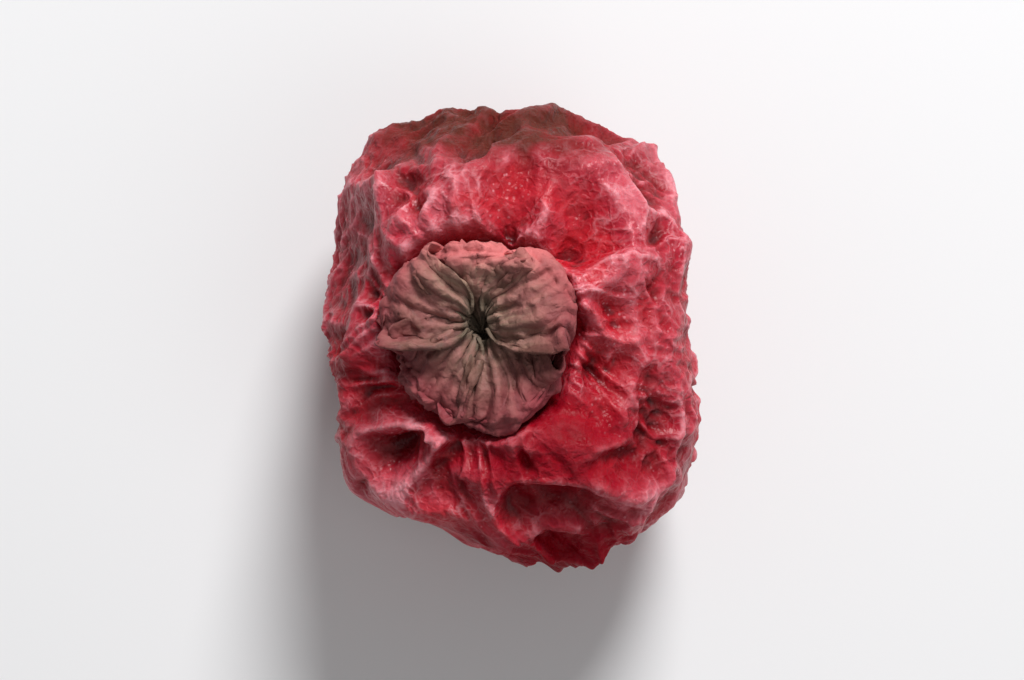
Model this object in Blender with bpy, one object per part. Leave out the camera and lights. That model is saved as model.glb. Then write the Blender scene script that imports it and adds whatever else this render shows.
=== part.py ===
"""A red currant, dried whole: the crumpled berry, the withered flower on its top end
and the torn stub of its stalk underneath.

Metres, +Z up. The berry rests on a small flat spot at z = 0, and the origin is under
the middle of its box. Seen from above, +Y is the upper side.
"""
import math

import bmesh
import bpy
import numpy as np
from mathutils import Vector

MM = 0.001
GOLDEN_ANGLE = math.pi * (3.0 - math.sqrt(5.0))

# Overall size of the berry, in X, Y and Z
BERRY_SIZE = np.array((5.5, 6.8, 5.2)) * MM
MEAN_RADIUS = float(BERRY_SIZE.mean()) / 2.0
# The rounding of the berry before it crumples, from the side and from above: 2 is an
# ellipsoid, more is boxier
BERRY_FULLNESS = 2.5
BERRY_SQUARENESS = 3.5
# Seen from above, the berry leans left at its upper end, and its lower end narrows and
# hooks to the right over these shares of its half length
BERRY_LEAN = -0.04
BERRY_TAPER = 0.48
TAPER_START = 0.56
TAPER_END = 1.05
BERRY_HOOK = 0.60 * MM
# Cuts along each edge of the twenty-sided ball that the skin is pushed into shape from
BERRY_CUTS = 21
# No crest is sharper than this, so that the mesh follows it
CREST_ROUNDING = 0.08 * MM

# Where the flower and the stalk sit, as directions from the berry's middle
FLOWER_DIRECTION = Vector((-0.20, 0.05, 1.0)).normalized()
STALK_DIRECTION = Vector((0.68, -0.40, -0.68)).normalized()

# Main facets: the flats between the main ridges
FACET_COUNT = 38
FACET_SEED = 11
FACET_JITTER = 0.45
FACET_CUT_LEAST = 0.015
FACET_CUT_MOST = 0.135
FACET_CUT_SEED = 12
FACET_FACING_LEAST = 0.05
FACET_DISH = 0.28 * MM
FACET_RIDGE_WIDTH = 0.20 * MM
# Shares of the facets' radius and of the plain rounding in the crumpled radius
FACET_SHARE = 0.75
FULLEST_RADIUS = 1.03
# Where ridges meet, they stand no higher than about this over the plain rounding
HIGHEST_RIDGE = 0.14 * MM

# Crumples: smaller cells in the facets, drawn out from flower to stalk
CRUMPLE_COUNT = 150
CRUMPLE_SEED = 5
CRUMPLE_JITTER = 0.55
CRUMPLE_DRAW = 0.62
CRUMPLE_DEPTH = 0.15 * MM
CRUMPLE_RIDGE_WIDTH = 0.16 * MM
CRUMPLE_MIDDLE = 0.35
# The smoothest patches of skin keep this share of the crumples
CRUMPLE_LEAST = 0.3
CRUMPLE_PATCH_SIZE = 0.7
CRUMPLE_PATCH_SEED = 25
CRUMPLE_PATCH_RANGE = (-0.5, 0.5)

# Veins: lines from the flower to the stalk that stand up as the skin dries
VEIN_COUNT = 15
VEIN_SEED = 8
VEIN_HEIGHT = 0.08 * MM
VEIN_WIDTH = 0.12 * MM
# How uneven their spacing is, how weak the weakest is, and where they fade near the ends
VEIN_UNEVEN = 0.28
VEIN_WEAKEST = 0.35
VEIN_FADE = (0.25, 0.6)

# The skin's wander, which bends every ridge
WANDER_SIZE = 0.55
WANDER_AMOUNT = 0.13
WANDER_SEED = 3
WANDER_FINE_SIZE = 0.2115
WANDER_FINE_SHARE = 0.4
WANDER_FINE_SEED = 10

# Ridges that are placed one by one, seen from above, in millimetres: height, width and
# points from the middle of the berry
PLACED_RIDGES = {
    "left_rim": (0.20, 0.17, ((-1.9, 2.7), (-2.25, 1.6), (-2.4, 0.4), (-2.45, -0.9))),
    "right_fold": (0.26, 0.20, ((1.1, 2.5), (1.8, 1.7), (1.75, 0.7), (1.95, -0.3), (1.7, -1.2))),
    "right_edge": (0.16, 0.17, ((1.1, 2.6), (2.2, 1.9), (2.45, 0.6), (2.35, -1.0))),
    "crown_fold": (0.20, 0.20, ((-1.7, 2.6), (-0.6, 2.35), (0.4, 2.6), (1.1, 2.5))),
    "crown_streak": (0.18, 0.15, ((-0.75, 2.3), (-0.85, 1.5))),
    "crown_streak_right": (0.16, 0.15, ((0.55, 2.2), (0.35, 1.4), (0.9, 0.9))),
    "loop_upper": (0.26, 0.12, ((-2.4, -1.3), (-1.9, -1.25), (-1.1, -1.45))),
    "loop_lower": (0.32, 0.14, ((-2.4, -1.3), (-2.35, -2.1), (-1.8, -2.35), (-1.1, -1.45))),
    "belly_wrinkle_high": (0.18, 0.13, ((-0.6, -1.45), (0.5, -1.4), (1.9, -1.55))),
    "belly_wrinkle_low": (0.20, 0.14, ((-0.9, -1.95), (0.4, -1.9), (1.9, -2.1))),
    "bottom_fold": (0.30, 0.18, ((-1.8, -2.35), (-0.9, -2.45), (-0.1, -2.75), (1.0, -2.7))),
}
# Hollows that are placed one by one, in millimetres: depth, radius, and place from above
PLACED_HOLLOWS = {
    "loop_pit": (0.34, 0.25, (-1.90, -1.75)),
    "right_pit": (0.30, 0.32, (1.4, -0.45)),
    "right_gutter": (0.24, 0.38, (1.15, 1.4)),
    "crown_gutter": (0.22, 0.45, (-0.1, 1.8)),
    "left_gutter": (0.22, 0.42, (-1.95, 0.9)),
    "belly_gutter": (0.20, 0.50, (0.9, -2.35)),
}
# Height, as a share of the radius, over which the placed relief fades in
PLACED_FADE = 0.3

# The berry rests on a flat three-cornered spot round its weight
REST_MIDDLE = np.array((0.04, 0.03)) * MM
REST_CORNER_RADIUS = 1.4 * MM
REST_CORNER_TURNS = (math.radians(30.0), math.radians(150.0), math.radians(270.0))
REST_LIFT = 0.14 * MM
REST_LIFT_WIDTH = 0.10 * MM
REST_BLEND_WIDTH = 0.22 * MM
# Skin above this height is left as it is
REST_TOP = 1.3 * MM

# Seats for the flower and the stalk stub, flats sunk in the skin: the radius of the
# flat, the radius where its hollow ends, and its depth
FLOWER_SEAT = (1.15 * MM, 1.65 * MM, 0.52 * MM)
STALK_SEAT = (0.38 * MM, 1.0 * MM, 0.42 * MM)
SEAT_GAP = 0.04 * MM

# The withered flower: five sepals folded in over a cup, each with the way it points,
# how far it reaches and how high it stands, seen from above
SEPALS = (
    (math.radians(26.0), 1.46 * MM, 0.86 * MM),
    (math.radians(92.0), 1.14 * MM, 1.12 * MM),
    (math.radians(150.0), 1.48 * MM, 0.92 * MM),
    (math.radians(222.0), 1.20 * MM, 0.72 * MM),
    (math.radians(292.0), 1.34 * MM, 0.66 * MM),
)
SEPAL_SPREAD = 0.45
FLOWER_FOOT_RADIUS = 1.02 * MM
FLOWER_CORE_RADIUS = 1.0 * MM
FLOWER_CORE_HEIGHT = 0.45 * MM
# The core's pull on the rim against that of one sepal
FLOWER_CORE_WEIGHT = 0.12
# Between two sepals the rim keeps this share of its height over the core
FLOWER_NOTCH_SHARE = 0.35
# The wall's bulge: 1 is a straight cone, more is a fuller cup
FLOWER_WALL_BULGE = 1.5
# The middle's dip and how fast it falls, and the folded sepals' rise and their slope
FLOWER_CENTRE_DIP = 0.42 * MM
FLOWER_DIP_POWER = 1.5
FLOWER_FOLD_RISE = 0.16 * MM
FLOWER_FOLD_POWER = 1.4
FLOWER_SLOPE_POWER = 0.6
# The foot closes over this share of the underside
FLOWER_FOOT_SHARE = 1.0 / 3.0
FLOWER_SIDES = 48
FLOWER_RINGS = 18

# The torn end of the stalk
STUB_BASE_RADIUS = 0.27 * MM
STUB_TIP_RADIUS = 0.20 * MM
STUB_LENGTH = 0.62 * MM
STUB_TEAR = 0.08 * MM
STUB_TEAR_TURN = 0.6
STUB_SIDES = 14

SKIN_COLOUR = (0.300, 0.020, 0.030, 1.0)
FLOWER_COLOUR = (0.130, 0.085, 0.055, 1.0)
STALK_COLOUR = (0.420, 0.300, 0.170, 1.0)
SKIN_ROUGHNESS = 0.5
DRY_ROUGHNESS = 0.8


def clear_scene():
    """Remove every object that the scene starts with."""
    for item in list(bpy.data.objects):
        bpy.data.objects.remove(item, do_unlink=True)


def finish(name, colour, roughness):
    """A plain material with this colour and roughness."""
    material = bpy.data.materials.new(name)
    material.use_nodes = True
    shader = material.node_tree.nodes["Principled BSDF"]
    shader.inputs["Base Color"].default_value = colour
    shader.inputs["Roughness"].default_value = roughness
    shader.inputs["Metallic"].default_value = 0.0
    return material


def add_object(name, mesh_edit, material):
    """Turn a bmesh into a named object with a material."""
    mesh = bpy.data.meshes.new(name)
    mesh_edit.to_mesh(mesh)
    mesh_edit.free()
    mesh.materials.append(material)
    mesh.shade_smooth()
    piece = bpy.data.objects.new(name, mesh)
    bpy.context.scene.collection.objects.link(piece)
    return piece


def unit(vectors):
    """The same vectors at length 1."""
    return vectors / np.linalg.norm(vectors, axis=-1, keepdims=True)


def ease(low, high, value):
    """0 below low, 1 above high, and a smooth step between."""
    step = np.clip((value - low) / (high - low), 0.0, 1.0)
    return step * step * (3.0 - 2.0 * step)


def crest(distance, width):
    """1 on a ridge's crest, which is a little rounded, and less on its two slopes."""
    rounded = np.sqrt(distance ** 2 + CREST_ROUNDING ** 2) - CREST_ROUNDING
    return np.exp(-rounded / width)


def smooth_noise(points, cell, seed):
    """Noise from -1 to 1 whose humps are about a cell across."""
    rng = np.random.default_rng(seed)
    order = rng.permutation(256)
    heights = rng.uniform(-1.0, 1.0, 256)
    scaled = points / cell + rng.uniform(0.0, 64.0, 3)
    corner = np.floor(scaled).astype(int)
    part = scaled - corner
    part = part * part * (3.0 - 2.0 * part)
    total = np.zeros(len(points))
    for x in (0, 1):
        for y in (0, 1):
            for z in (0, 1):
                share_x = part[:, 0] if x else 1.0 - part[:, 0]
                share_y = part[:, 1] if y else 1.0 - part[:, 1]
                share_z = part[:, 2] if z else 1.0 - part[:, 2]
                key = order[(corner[:, 0] + x) % 256]
                key = order[(key + corner[:, 1] + y) % 256]
                key = order[(key + corner[:, 2] + z) % 256]
                total += heights[key] * share_x * share_y * share_z
    return total


def wander(directions):
    """Directions bent a little by noise, so that ridges run in wavy lines."""
    broad = [smooth_noise(directions, WANDER_SIZE, WANDER_SEED + axis) for axis in range(3)]
    fine = [smooth_noise(directions, WANDER_FINE_SIZE, WANDER_FINE_SEED + axis) for axis in range(3)]
    bend = np.stack(broad, axis=1) + WANDER_FINE_SHARE * np.stack(fine, axis=1)
    return unit(directions + WANDER_AMOUNT * bend)


def spread_directions(count, seed, jitter):
    """Roughly even directions, each moved at random by part of their spacing."""
    rng = np.random.default_rng(seed)
    index = np.arange(count) + 0.5
    height = 1.0 - 2.0 * index / count
    ring = np.sqrt(1.0 - height * height)
    turn = index * GOLDEN_ANGLE
    even = np.stack((ring * np.cos(turn), ring * np.sin(turn), height), axis=1)
    spacing = math.sqrt(4.0 * math.pi / count)
    return unit(even + rng.normal(0.0, jitter * spacing, even.shape))


def full_radius(directions):
    """The berry's radius before it crumples."""
    scaled = np.abs(directions) / (BERRY_SIZE / 2.0)
    level = np.sum(scaled[:, :2] ** BERRY_SQUARENESS, axis=1) ** (1.0 / BERRY_SQUARENESS)
    return (level ** BERRY_FULLNESS + scaled[:, 2] ** BERRY_FULLNESS) ** (-1.0 / BERRY_FULLNESS)


def leaned(points):
    """The same places with the berry's lean and its narrower, hooked lower end."""
    low_end = ease(TAPER_START, TAPER_END, -points[:, 1] / (BERRY_SIZE[1] / 2.0))
    moved = points.copy()
    moved[:, 0] *= 1.0 - BERRY_TAPER * low_end
    moved[:, 0] += BERRY_LEAN * points[:, 1] + BERRY_HOOK * low_end
    return moved


def facets(directions):
    """Radius of the main flats, and how far each point is from the ridge between two."""
    rng = np.random.default_rng(FACET_CUT_SEED)
    normals = spread_directions(FACET_COUNT, FACET_SEED, FACET_JITTER)
    cut = rng.uniform(FACET_CUT_LEAST, FACET_CUT_MOST, FACET_COUNT)
    full = directions * full_radius(directions)[:, None]
    touch = np.max(full @ normals.T, axis=0) * (1.0 - cut)
    facing = np.maximum(directions @ normals.T, FACET_FACING_LEAST)
    reach = np.sort(touch / facing, axis=1)
    return reach[:, 0], reach[:, 1] - reach[:, 0]


def stretched_apart(directions, centres, axis, draw):
    """Distance to each centre, counted less along the axis, which draws the cells out."""
    squeeze = np.eye(3) - (1.0 - draw) * np.outer(axis, axis)
    places = directions @ squeeze
    cells = centres @ squeeze
    squares = np.sum(places ** 2, axis=1)[:, None] + np.sum(cells ** 2, axis=1)[None, :]
    return np.sqrt(np.maximum(squares - 2.0 * places @ cells.T, 0.0))


def crumples(directions):
    """Ridges of the small cells: 1 on a ridge, 0 in the middle of a cell."""
    axis = np.array((FLOWER_DIRECTION - STALK_DIRECTION).normalized())
    centres = spread_directions(CRUMPLE_COUNT, CRUMPLE_SEED, CRUMPLE_JITTER)
    apart = np.sort(stretched_apart(directions, centres, axis, CRUMPLE_DRAW), axis=1)
    return crest((apart[:, 1] - apart[:, 0]) * MEAN_RADIUS, CRUMPLE_RIDGE_WIDTH)


def veins(directions):
    """Ridges that run from the flower to the stalk: 1 on a vein, 0 between them."""
    rng = np.random.default_rng(VEIN_SEED)
    axis = (FLOWER_DIRECTION - STALK_DIRECTION).normalized()
    side = axis.orthogonal().normalized()
    turn = np.arctan2(directions @ np.array(axis.cross(side)), directions @ np.array(side))
    from_axis = np.sqrt(np.maximum(1.0 - (directions @ np.array(axis)) ** 2, 0.0))
    steps = np.arange(VEIN_COUNT) + rng.uniform(-VEIN_UNEVEN, VEIN_UNEVEN, VEIN_COUNT)
    places = steps * 2.0 * math.pi / VEIN_COUNT
    strength = rng.uniform(VEIN_WEAKEST, 1.0, VEIN_COUNT)
    apart = np.abs((turn[:, None] - places[None, :] + math.pi) % (2.0 * math.pi) - math.pi)
    apart = apart * (from_axis * MEAN_RADIUS)[:, None]
    return np.max(strength * crest(apart, VEIN_WIDTH), axis=1) * ease(*VEIN_FADE, from_axis)


def distance_to_line(places, points):
    """Distance from each place to a line through the points."""
    nearest = np.full(len(places), np.inf)
    for start, end in zip(points[:-1], points[1:]):
        run = end - start
        share = np.clip((places - start) @ run / (run @ run), 0.0, 1.0)
        apart = np.linalg.norm(places - start - share[:, None] * run, axis=1)
        nearest = np.minimum(nearest, apart)
    return nearest


def placed_relief(directions):
    """Height of the ridges and hollows that are placed one by one on the upper side."""
    seen = leaned(directions * full_radius(directions)[:, None])[:, :2]
    relief = np.zeros(len(directions))
    for height, width, points in PLACED_RIDGES.values():
        apart = distance_to_line(seen, np.array(points) * MM)
        relief += height * MM * crest(apart, width * MM)
    for depth, size, place in PLACED_HOLLOWS.values():
        apart = np.linalg.norm(seen - np.array(place) * MM, axis=1)
        relief -= depth * MM * np.exp(-((apart / (size * MM)) ** 2))
    return relief * ease(0.0, PLACED_FADE, directions[:, 2])


def skin_points(directions):
    """Places of the crumpled skin along these directions, before the seats are pressed in."""
    bent = wander(directions)
    plain = full_radius(directions)
    flat, from_ridge = facets(bent)
    radius = FACET_SHARE * np.minimum(flat, FULLEST_RADIUS * plain) + (1.0 - FACET_SHARE) * plain
    radius -= FACET_DISH * (1.0 - crest(from_ridge, FACET_RIDGE_WIDTH))
    patch_noise = smooth_noise(directions, CRUMPLE_PATCH_SIZE, CRUMPLE_PATCH_SEED)
    patches = ease(*CRUMPLE_PATCH_RANGE, patch_noise)
    depth = CRUMPLE_DEPTH * (CRUMPLE_LEAST + (1.0 - CRUMPLE_LEAST) * patches)
    radius += depth * (crumples(bent) - CRUMPLE_MIDDLE)
    radius += VEIN_HEIGHT * veins(bent)
    radius += placed_relief(directions)
    raised = radius - plain
    capped = HIGHEST_RIDGE * np.tanh(raised / HIGHEST_RIDGE)
    radius = plain + np.where(raised > 0.0, capped, raised)
    return leaned(directions * radius[:, None])


def press_seat(points, direction, seat):
    """Press a flat seat into the skin, with a hollow that eases out to its edge."""
    seat_radius, edge_radius, depth = seat
    axis = np.array(direction)
    along = points @ axis
    apart = np.linalg.norm(points - np.outer(along, axis), axis=1)
    near = (along > 0.0) & (apart < edge_radius)
    height = np.mean(along[near]) - depth
    blend = ease(seat_radius, edge_radius, apart)
    moved = np.where(near, height + (along - height) * blend, along)
    return points + np.outer(moved - along, axis), axis * height


def rest_corners():
    """The corners of the spot that the berry rests on, in X and Y."""
    turns = np.array(REST_CORNER_TURNS)
    return REST_MIDDLE + REST_CORNER_RADIUS * np.stack((np.cos(turns), np.sin(turns)), axis=1)


def press_rest(points):
    """Press the underside flat inside the rest spot, and keep the rest of it clear."""
    corners = rest_corners()
    inside = np.full(len(points), np.inf)
    for start, end in zip(corners, np.roll(corners, -1, axis=0)):
        run = unit(end - start)
        from_start = points[:, :2] - start
        inside = np.minimum(inside, run[0] * from_start[:, 1] - run[1] * from_start[:, 0])
    outside = np.minimum(inside, 0.0)
    lift = REST_LIFT * (1.0 - np.exp(outside / REST_LIFT_WIDTH))
    under = points[:, 2] < REST_TOP
    drawn = np.where(under, np.exp(outside / REST_BLEND_WIDTH), 0.0)
    height = points[:, 2] + (lift - points[:, 2]) * drawn
    pressed = points.copy()
    pressed[:, 2] = np.where(under & (inside > 0.0), 0.0, np.maximum(height, lift))
    for corner in corners:
        apart = np.linalg.norm(pressed[:, :2] - corner, axis=1)
        nearest = int(np.argmin(np.where(under, apart, np.inf)))
        pressed[nearest] = (corner[0], corner[1], 0.0)
    return pressed


def make_berry():
    """The crumpled berry, and the seats of the flower and the stalk, each a place and the
    way that it faces.
    """
    edit = bmesh.new()
    bmesh.ops.create_icosphere(edit, subdivisions=1, radius=1.0)
    bmesh.ops.subdivide_edges(edit, edges=edit.edges[:], cuts=BERRY_CUTS, use_grid_fill=True)
    directions = unit(np.array([vertex.co[:] for vertex in edit.verts]))
    points = skin_points(directions)
    points, flower_place = press_seat(points, FLOWER_DIRECTION, FLOWER_SEAT)
    points, stalk_place = press_seat(points, STALK_DIRECTION, STALK_SEAT)
    # The lowest part is cut off where the full berry is as wide as the rest spot
    share = 2.0 * REST_CORNER_RADIUS / BERRY_SIZE[0]
    floor = -(1.0 - share ** BERRY_FULLNESS) ** (1.0 / BERRY_FULLNESS) * BERRY_SIZE[2] / 2.0
    low = points.min(axis=0)
    high = points.max(axis=0)
    low[2] = floor
    scale = BERRY_SIZE / (high - low)
    middle = np.array(((low[0] + high[0]) / 2.0, (low[1] + high[1]) / 2.0, floor))
    points = press_rest((points - middle) * scale)
    for vertex, point in zip(edit.verts, points):
        vertex.co = point
    berry = add_object("berry", edit, finish("berry_skin", SKIN_COLOUR, SKIN_ROUGHNESS))
    seats = []
    for place, direction in ((flower_place, FLOWER_DIRECTION), (stalk_place, STALK_DIRECTION)):
        facing = unit(np.array(direction) / scale)
        seats.append((Vector((place - middle) * scale), Vector(facing)))
    return berry, seats


def turned_to(direction):
    """The smallest turn that takes +Z to this direction."""
    return Vector((0.0, 0.0, 1.0)).rotation_difference(direction).to_matrix()


def sepal_form(angle):
    """How far the sepals reach at this angle, how high they stand, and 1 on a sepal's middle."""
    total = FLOWER_CORE_WEIGHT
    reach = total * FLOWER_CORE_RADIUS
    height = total * FLOWER_CORE_HEIGHT
    closest = 0.0
    for turn, sepal_reach, sepal_height in SEPALS:
        apart = (angle - turn + math.pi) % (2.0 * math.pi) - math.pi
        weight = math.exp(-((apart / SEPAL_SPREAD) ** 2))
        total += weight
        reach += weight * sepal_reach
        height += weight * sepal_height
        closest = max(closest, weight)
    return reach / total, height / total, closest


def make_calyx(seat_place, seat_facing):
    """The withered flower: a cup whose five sepals fold in over its middle."""
    edit = bmesh.new()
    bmesh.ops.create_uvsphere(edit, u_segments=FLOWER_SIDES, v_segments=FLOWER_RINGS, radius=1.0)
    turn_to_seat = turned_to(seat_facing)
    for vertex in edit.verts:
        angle = math.atan2(vertex.co.y, vertex.co.x)
        from_middle = min(1.0, math.hypot(vertex.co.x, vertex.co.y))
        reach, rim, closest = sepal_form(angle)
        kept = FLOWER_NOTCH_SHARE + (1.0 - FLOWER_NOTCH_SHARE) * closest
        rim = FLOWER_CORE_HEIGHT + (rim - FLOWER_CORE_HEIGHT) * kept
        if vertex.co.z < 0.0:
            # The outer wall, from the rim down and in to the foot
            down = -vertex.co.z
            wall = reach + (FLOWER_FOOT_RADIUS - reach) * down ** FLOWER_WALL_BULGE
            radius = wall * min(1.0, from_middle / FLOWER_FOOT_SHARE)
            height = rim * (1.0 - down)
        else:
            # The folded sepals, from the rim in to the dip in the middle
            radius = reach * from_middle
            dip = FLOWER_CENTRE_DIP * (1.0 - from_middle) ** FLOWER_DIP_POWER
            slope = from_middle ** FLOWER_SLOPE_POWER
            level = FLOWER_CORE_HEIGHT + (rim - FLOWER_CORE_HEIGHT) * slope
            fold = closest * math.sin(math.pi * from_middle ** FLOWER_FOLD_POWER)
            height = level - dip + FLOWER_FOLD_RISE * fold
        local = Vector((radius * math.cos(angle), radius * math.sin(angle), height + SEAT_GAP))
        vertex.co = turn_to_seat @ local + seat_place
    return add_object("calyx", edit, finish("withered_flower", FLOWER_COLOUR, DRY_ROUGHNESS))


def make_stub(seat_place, seat_facing):
    """The torn end of the stalk, standing in its hollow."""
    edit = bmesh.new()
    bmesh.ops.create_cone(
        edit,
        cap_ends=True,
        segments=STUB_SIDES,
        radius1=STUB_BASE_RADIUS,
        radius2=STUB_TIP_RADIUS,
        depth=STUB_LENGTH,
    )
    turn_to_seat = turned_to(seat_facing)
    for vertex in edit.verts:
        local = vertex.co.copy()
        if local.z > 0.0:
            local.z += STUB_TEAR * math.sin(2.0 * math.atan2(local.y, local.x) + STUB_TEAR_TURN)
        local.z += STUB_LENGTH / 2.0 + SEAT_GAP
        vertex.co = turn_to_seat @ local + seat_place
    return add_object("stalk_stub", edit, finish("stalk", STALK_COLOUR, DRY_ROUGHNESS))


def main():
    """Build the berry, then the flower and the stalk stub on its seats."""
    clear_scene()
    _, (flower_seat, stalk_seat) = make_berry()
    make_calyx(*flower_seat)
    make_stub(*stalk_seat)


main()
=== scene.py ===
"""The looks of a red currant that was dried whole.

The berry's crumpled skin, its withered flower and the torn end of its stalk are made at
full detail round the fixed frame, dressed with procedural finishes, and set on a pale
floor under soft light, seen from straight above.
"""

import logging
import math
from dataclasses import dataclass, field
from enum import Enum
from typing import Sequence

import bmesh
import bpy
import numpy as np
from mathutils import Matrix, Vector, kdtree


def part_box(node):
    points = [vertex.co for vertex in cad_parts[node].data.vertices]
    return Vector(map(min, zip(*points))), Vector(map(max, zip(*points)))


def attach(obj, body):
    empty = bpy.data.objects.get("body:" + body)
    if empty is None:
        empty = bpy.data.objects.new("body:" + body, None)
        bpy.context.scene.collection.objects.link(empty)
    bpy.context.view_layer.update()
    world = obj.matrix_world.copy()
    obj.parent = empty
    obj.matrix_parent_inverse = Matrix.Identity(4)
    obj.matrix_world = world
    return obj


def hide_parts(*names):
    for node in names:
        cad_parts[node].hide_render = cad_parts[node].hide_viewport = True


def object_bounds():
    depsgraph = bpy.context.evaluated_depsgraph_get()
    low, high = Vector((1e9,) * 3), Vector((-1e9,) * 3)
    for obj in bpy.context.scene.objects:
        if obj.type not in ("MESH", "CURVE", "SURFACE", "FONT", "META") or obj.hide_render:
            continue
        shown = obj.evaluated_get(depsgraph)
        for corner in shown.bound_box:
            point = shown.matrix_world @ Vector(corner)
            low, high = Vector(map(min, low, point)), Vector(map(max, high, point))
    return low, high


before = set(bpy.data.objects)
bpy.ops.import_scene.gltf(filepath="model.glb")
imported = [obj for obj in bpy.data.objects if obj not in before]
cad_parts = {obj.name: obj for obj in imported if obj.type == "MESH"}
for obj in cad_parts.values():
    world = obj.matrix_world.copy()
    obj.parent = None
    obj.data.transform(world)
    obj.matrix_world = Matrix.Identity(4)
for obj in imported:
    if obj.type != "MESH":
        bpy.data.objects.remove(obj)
CAD_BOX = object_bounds()

MM = 0.001
GOLDEN_ANGLE = math.pi * (3.0 - math.sqrt(5.0))
LOG = logging.getLogger("red_currant")

Colour = tuple[float, float, float]
Point = tuple[float, float]
Triple = tuple[float, float, float]
Socket = bpy.types.NodeSocket


class Relief(Enum):
    """How a placed feature moves the skin."""

    RIDGE = 1.0
    HOLLOW = -1.0


class Mark(Enum):
    """The vertex attributes that the finishes read."""

    # level sets painted shade in the pits and painted highlight on the crests.
    LEVEL = "level"
    # crease places the pale frosting and its painted highlight.
    CREASE = "crease"
    # The tan patches are partly tan tone and partly painted shade.
    TAN = "tan_patch"
    # The plum patches are partly plum tone and partly painted shade.
    PLUM = "plum_patch"
    # The bright patches make the skin redder and lighter: partly painted light.
    BRIGHT = "bright_patch"
    # The frost patches hold pale frosting and painted highlight.
    FROST = "frost_patch"
    ALONG = "along"
    ACROSS = "across"
    RING = "ring"
    # hood marks the flower's hood side, which is painted lighter: painted light over some real pink.
    HOOD = "hood"


def unit(vectors: np.ndarray) -> np.ndarray:
    """Scale vectors to length 1.

    Args:
        vectors: rows of three numbers, or one vector.

    Returns:
        The same vectors at length 1.
    """
    return vectors / np.linalg.norm(vectors, axis=-1, keepdims=True)


def ease(low: float, high: float, value: np.ndarray | float) -> np.ndarray:
    """A smooth step from 0 at low to 1 at high.

    Args:
        low: where the step starts.
        high: where the step ends.
        value: where it is read.

    Returns:
        The height of the step at each value.
    """
    step = np.clip((np.asarray(value) - low) / (high - low), 0.0, 1.0)
    return step * step * (3.0 - 2.0 * step)


def smooth_noise(points: np.ndarray, cell: float, seed: int) -> np.ndarray:
    """Noise from -1 to 1 whose humps are about a cell across.

    Args:
        points: rows of three coordinates.
        cell: the size of a hump, in the points' own units.
        seed: what the random heights are drawn from.

    Returns:
        The noise at each point.
    """
    rng = np.random.default_rng(seed)
    order = rng.permutation(256)
    heights = rng.uniform(-1.0, 1.0, 256)
    scaled = points / cell + rng.uniform(0.0, 64.0, 3)
    corner = np.floor(scaled).astype(int)
    part = scaled - corner
    part = part * part * (3.0 - 2.0 * part)
    total = np.zeros(len(points))
    for x in (0, 1):
        for y in (0, 1):
            for z in (0, 1):
                share_x = part[:, 0] if x else 1.0 - part[:, 0]
                share_y = part[:, 1] if y else 1.0 - part[:, 1]
                share_z = part[:, 2] if z else 1.0 - part[:, 2]
                key = order[(corner[:, 0] + x) % 256]
                key = order[(key + corner[:, 1] + y) % 256]
                key = order[(key + corner[:, 2] + z) % 256]
                total += heights[key] * share_x * share_y * share_z
    return total


def spread_directions(count: int, seed: int, jitter: float) -> np.ndarray:
    """Roughly even directions, each moved at random by part of their spacing.

    Args:
        count: how many directions.
        seed: what the moves are drawn from.
        jitter: the moves' size, as a share of the spacing.

    Returns:
        Rows of unit vectors.
    """
    rng = np.random.default_rng(seed)
    index = np.arange(count) + 0.5
    height = 1.0 - 2.0 * index / count
    ring = np.sqrt(1.0 - height * height)
    turn = index * GOLDEN_ANGLE
    even = np.stack((ring * np.cos(turn), ring * np.sin(turn), height), axis=1)
    spacing = math.sqrt(4.0 * math.pi / count)
    return unit(even + rng.normal(0.0, jitter * spacing, even.shape))


def crest(distance: np.ndarray, width: float, rounding: float) -> np.ndarray:
    """The profile of a ridge.

    Args:
        distance: how far from its crest.
        width: how wide its slopes are.
        rounding: how rounded its crest is.

    Returns:
        1 on the crest, and less on its two slopes.
    """
    return np.exp((rounding - np.sqrt(distance ** 2 + rounding ** 2)) / width)


def distance_to_line(places: np.ndarray, points: np.ndarray) -> np.ndarray:
    """Distance from each place to a line through the points.

    Args:
        places: rows of two coordinates.
        points: the line's points, in order.

    Returns:
        The distance of each place.
    """
    nearest = np.full(len(places), np.inf)
    for start, end in zip(points[:-1], points[1:]):
        run = end - start
        share = np.clip((places - start) @ run / (run @ run), 0.0, 1.0)
        apart = np.linalg.norm(places - start - share[:, None] * run, axis=1)
        nearest = np.minimum(nearest, apart)
    return nearest


def bell(distance: np.ndarray, width: float) -> np.ndarray:
    """A soft hump, 1 at its middle."""
    return np.exp(-((distance / width) ** 2))


def turn_from(angle: np.ndarray, middle: float | np.ndarray) -> np.ndarray:
    """How far angles are from a middle one, by the short way round."""
    return (angle - middle + math.pi) % (2.0 * math.pi) - math.pi


def vector_noise(points: np.ndarray, cell: float, seed: int) -> np.ndarray:
    """Rows of three noises, drawn from a seed and the next two."""
    return np.stack([smooth_noise(points, cell, seed + axis) for axis in range(3)], axis=1)


def smooth_route(points: np.ndarray, share: np.ndarray) -> np.ndarray:
    """Places on a smooth curve through points.

    Args:
        points: the points, as rows.
        share: how far along, from 0 to 1.

    Returns:
        One row of places for each coordinate.
    """
    last = len(points) - 1
    scaled = np.clip(share, 0.0, 1.0) * last
    start = np.minimum(scaled.astype(int), last - 1)
    part = (scaled - start)[:, None]
    before, here = points[np.maximum(start - 1, 0)], points[start]
    there, after = points[start + 1], points[np.minimum(start + 2, last)]
    curve = 0.5 * (2.0 * here + (there - before) * part
                   + (2.0 * before - 5.0 * here + 4.0 * there - after) * part ** 2
                   + (3.0 * here - before - 3.0 * there + after) * part ** 3)
    return curve.T


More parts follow.
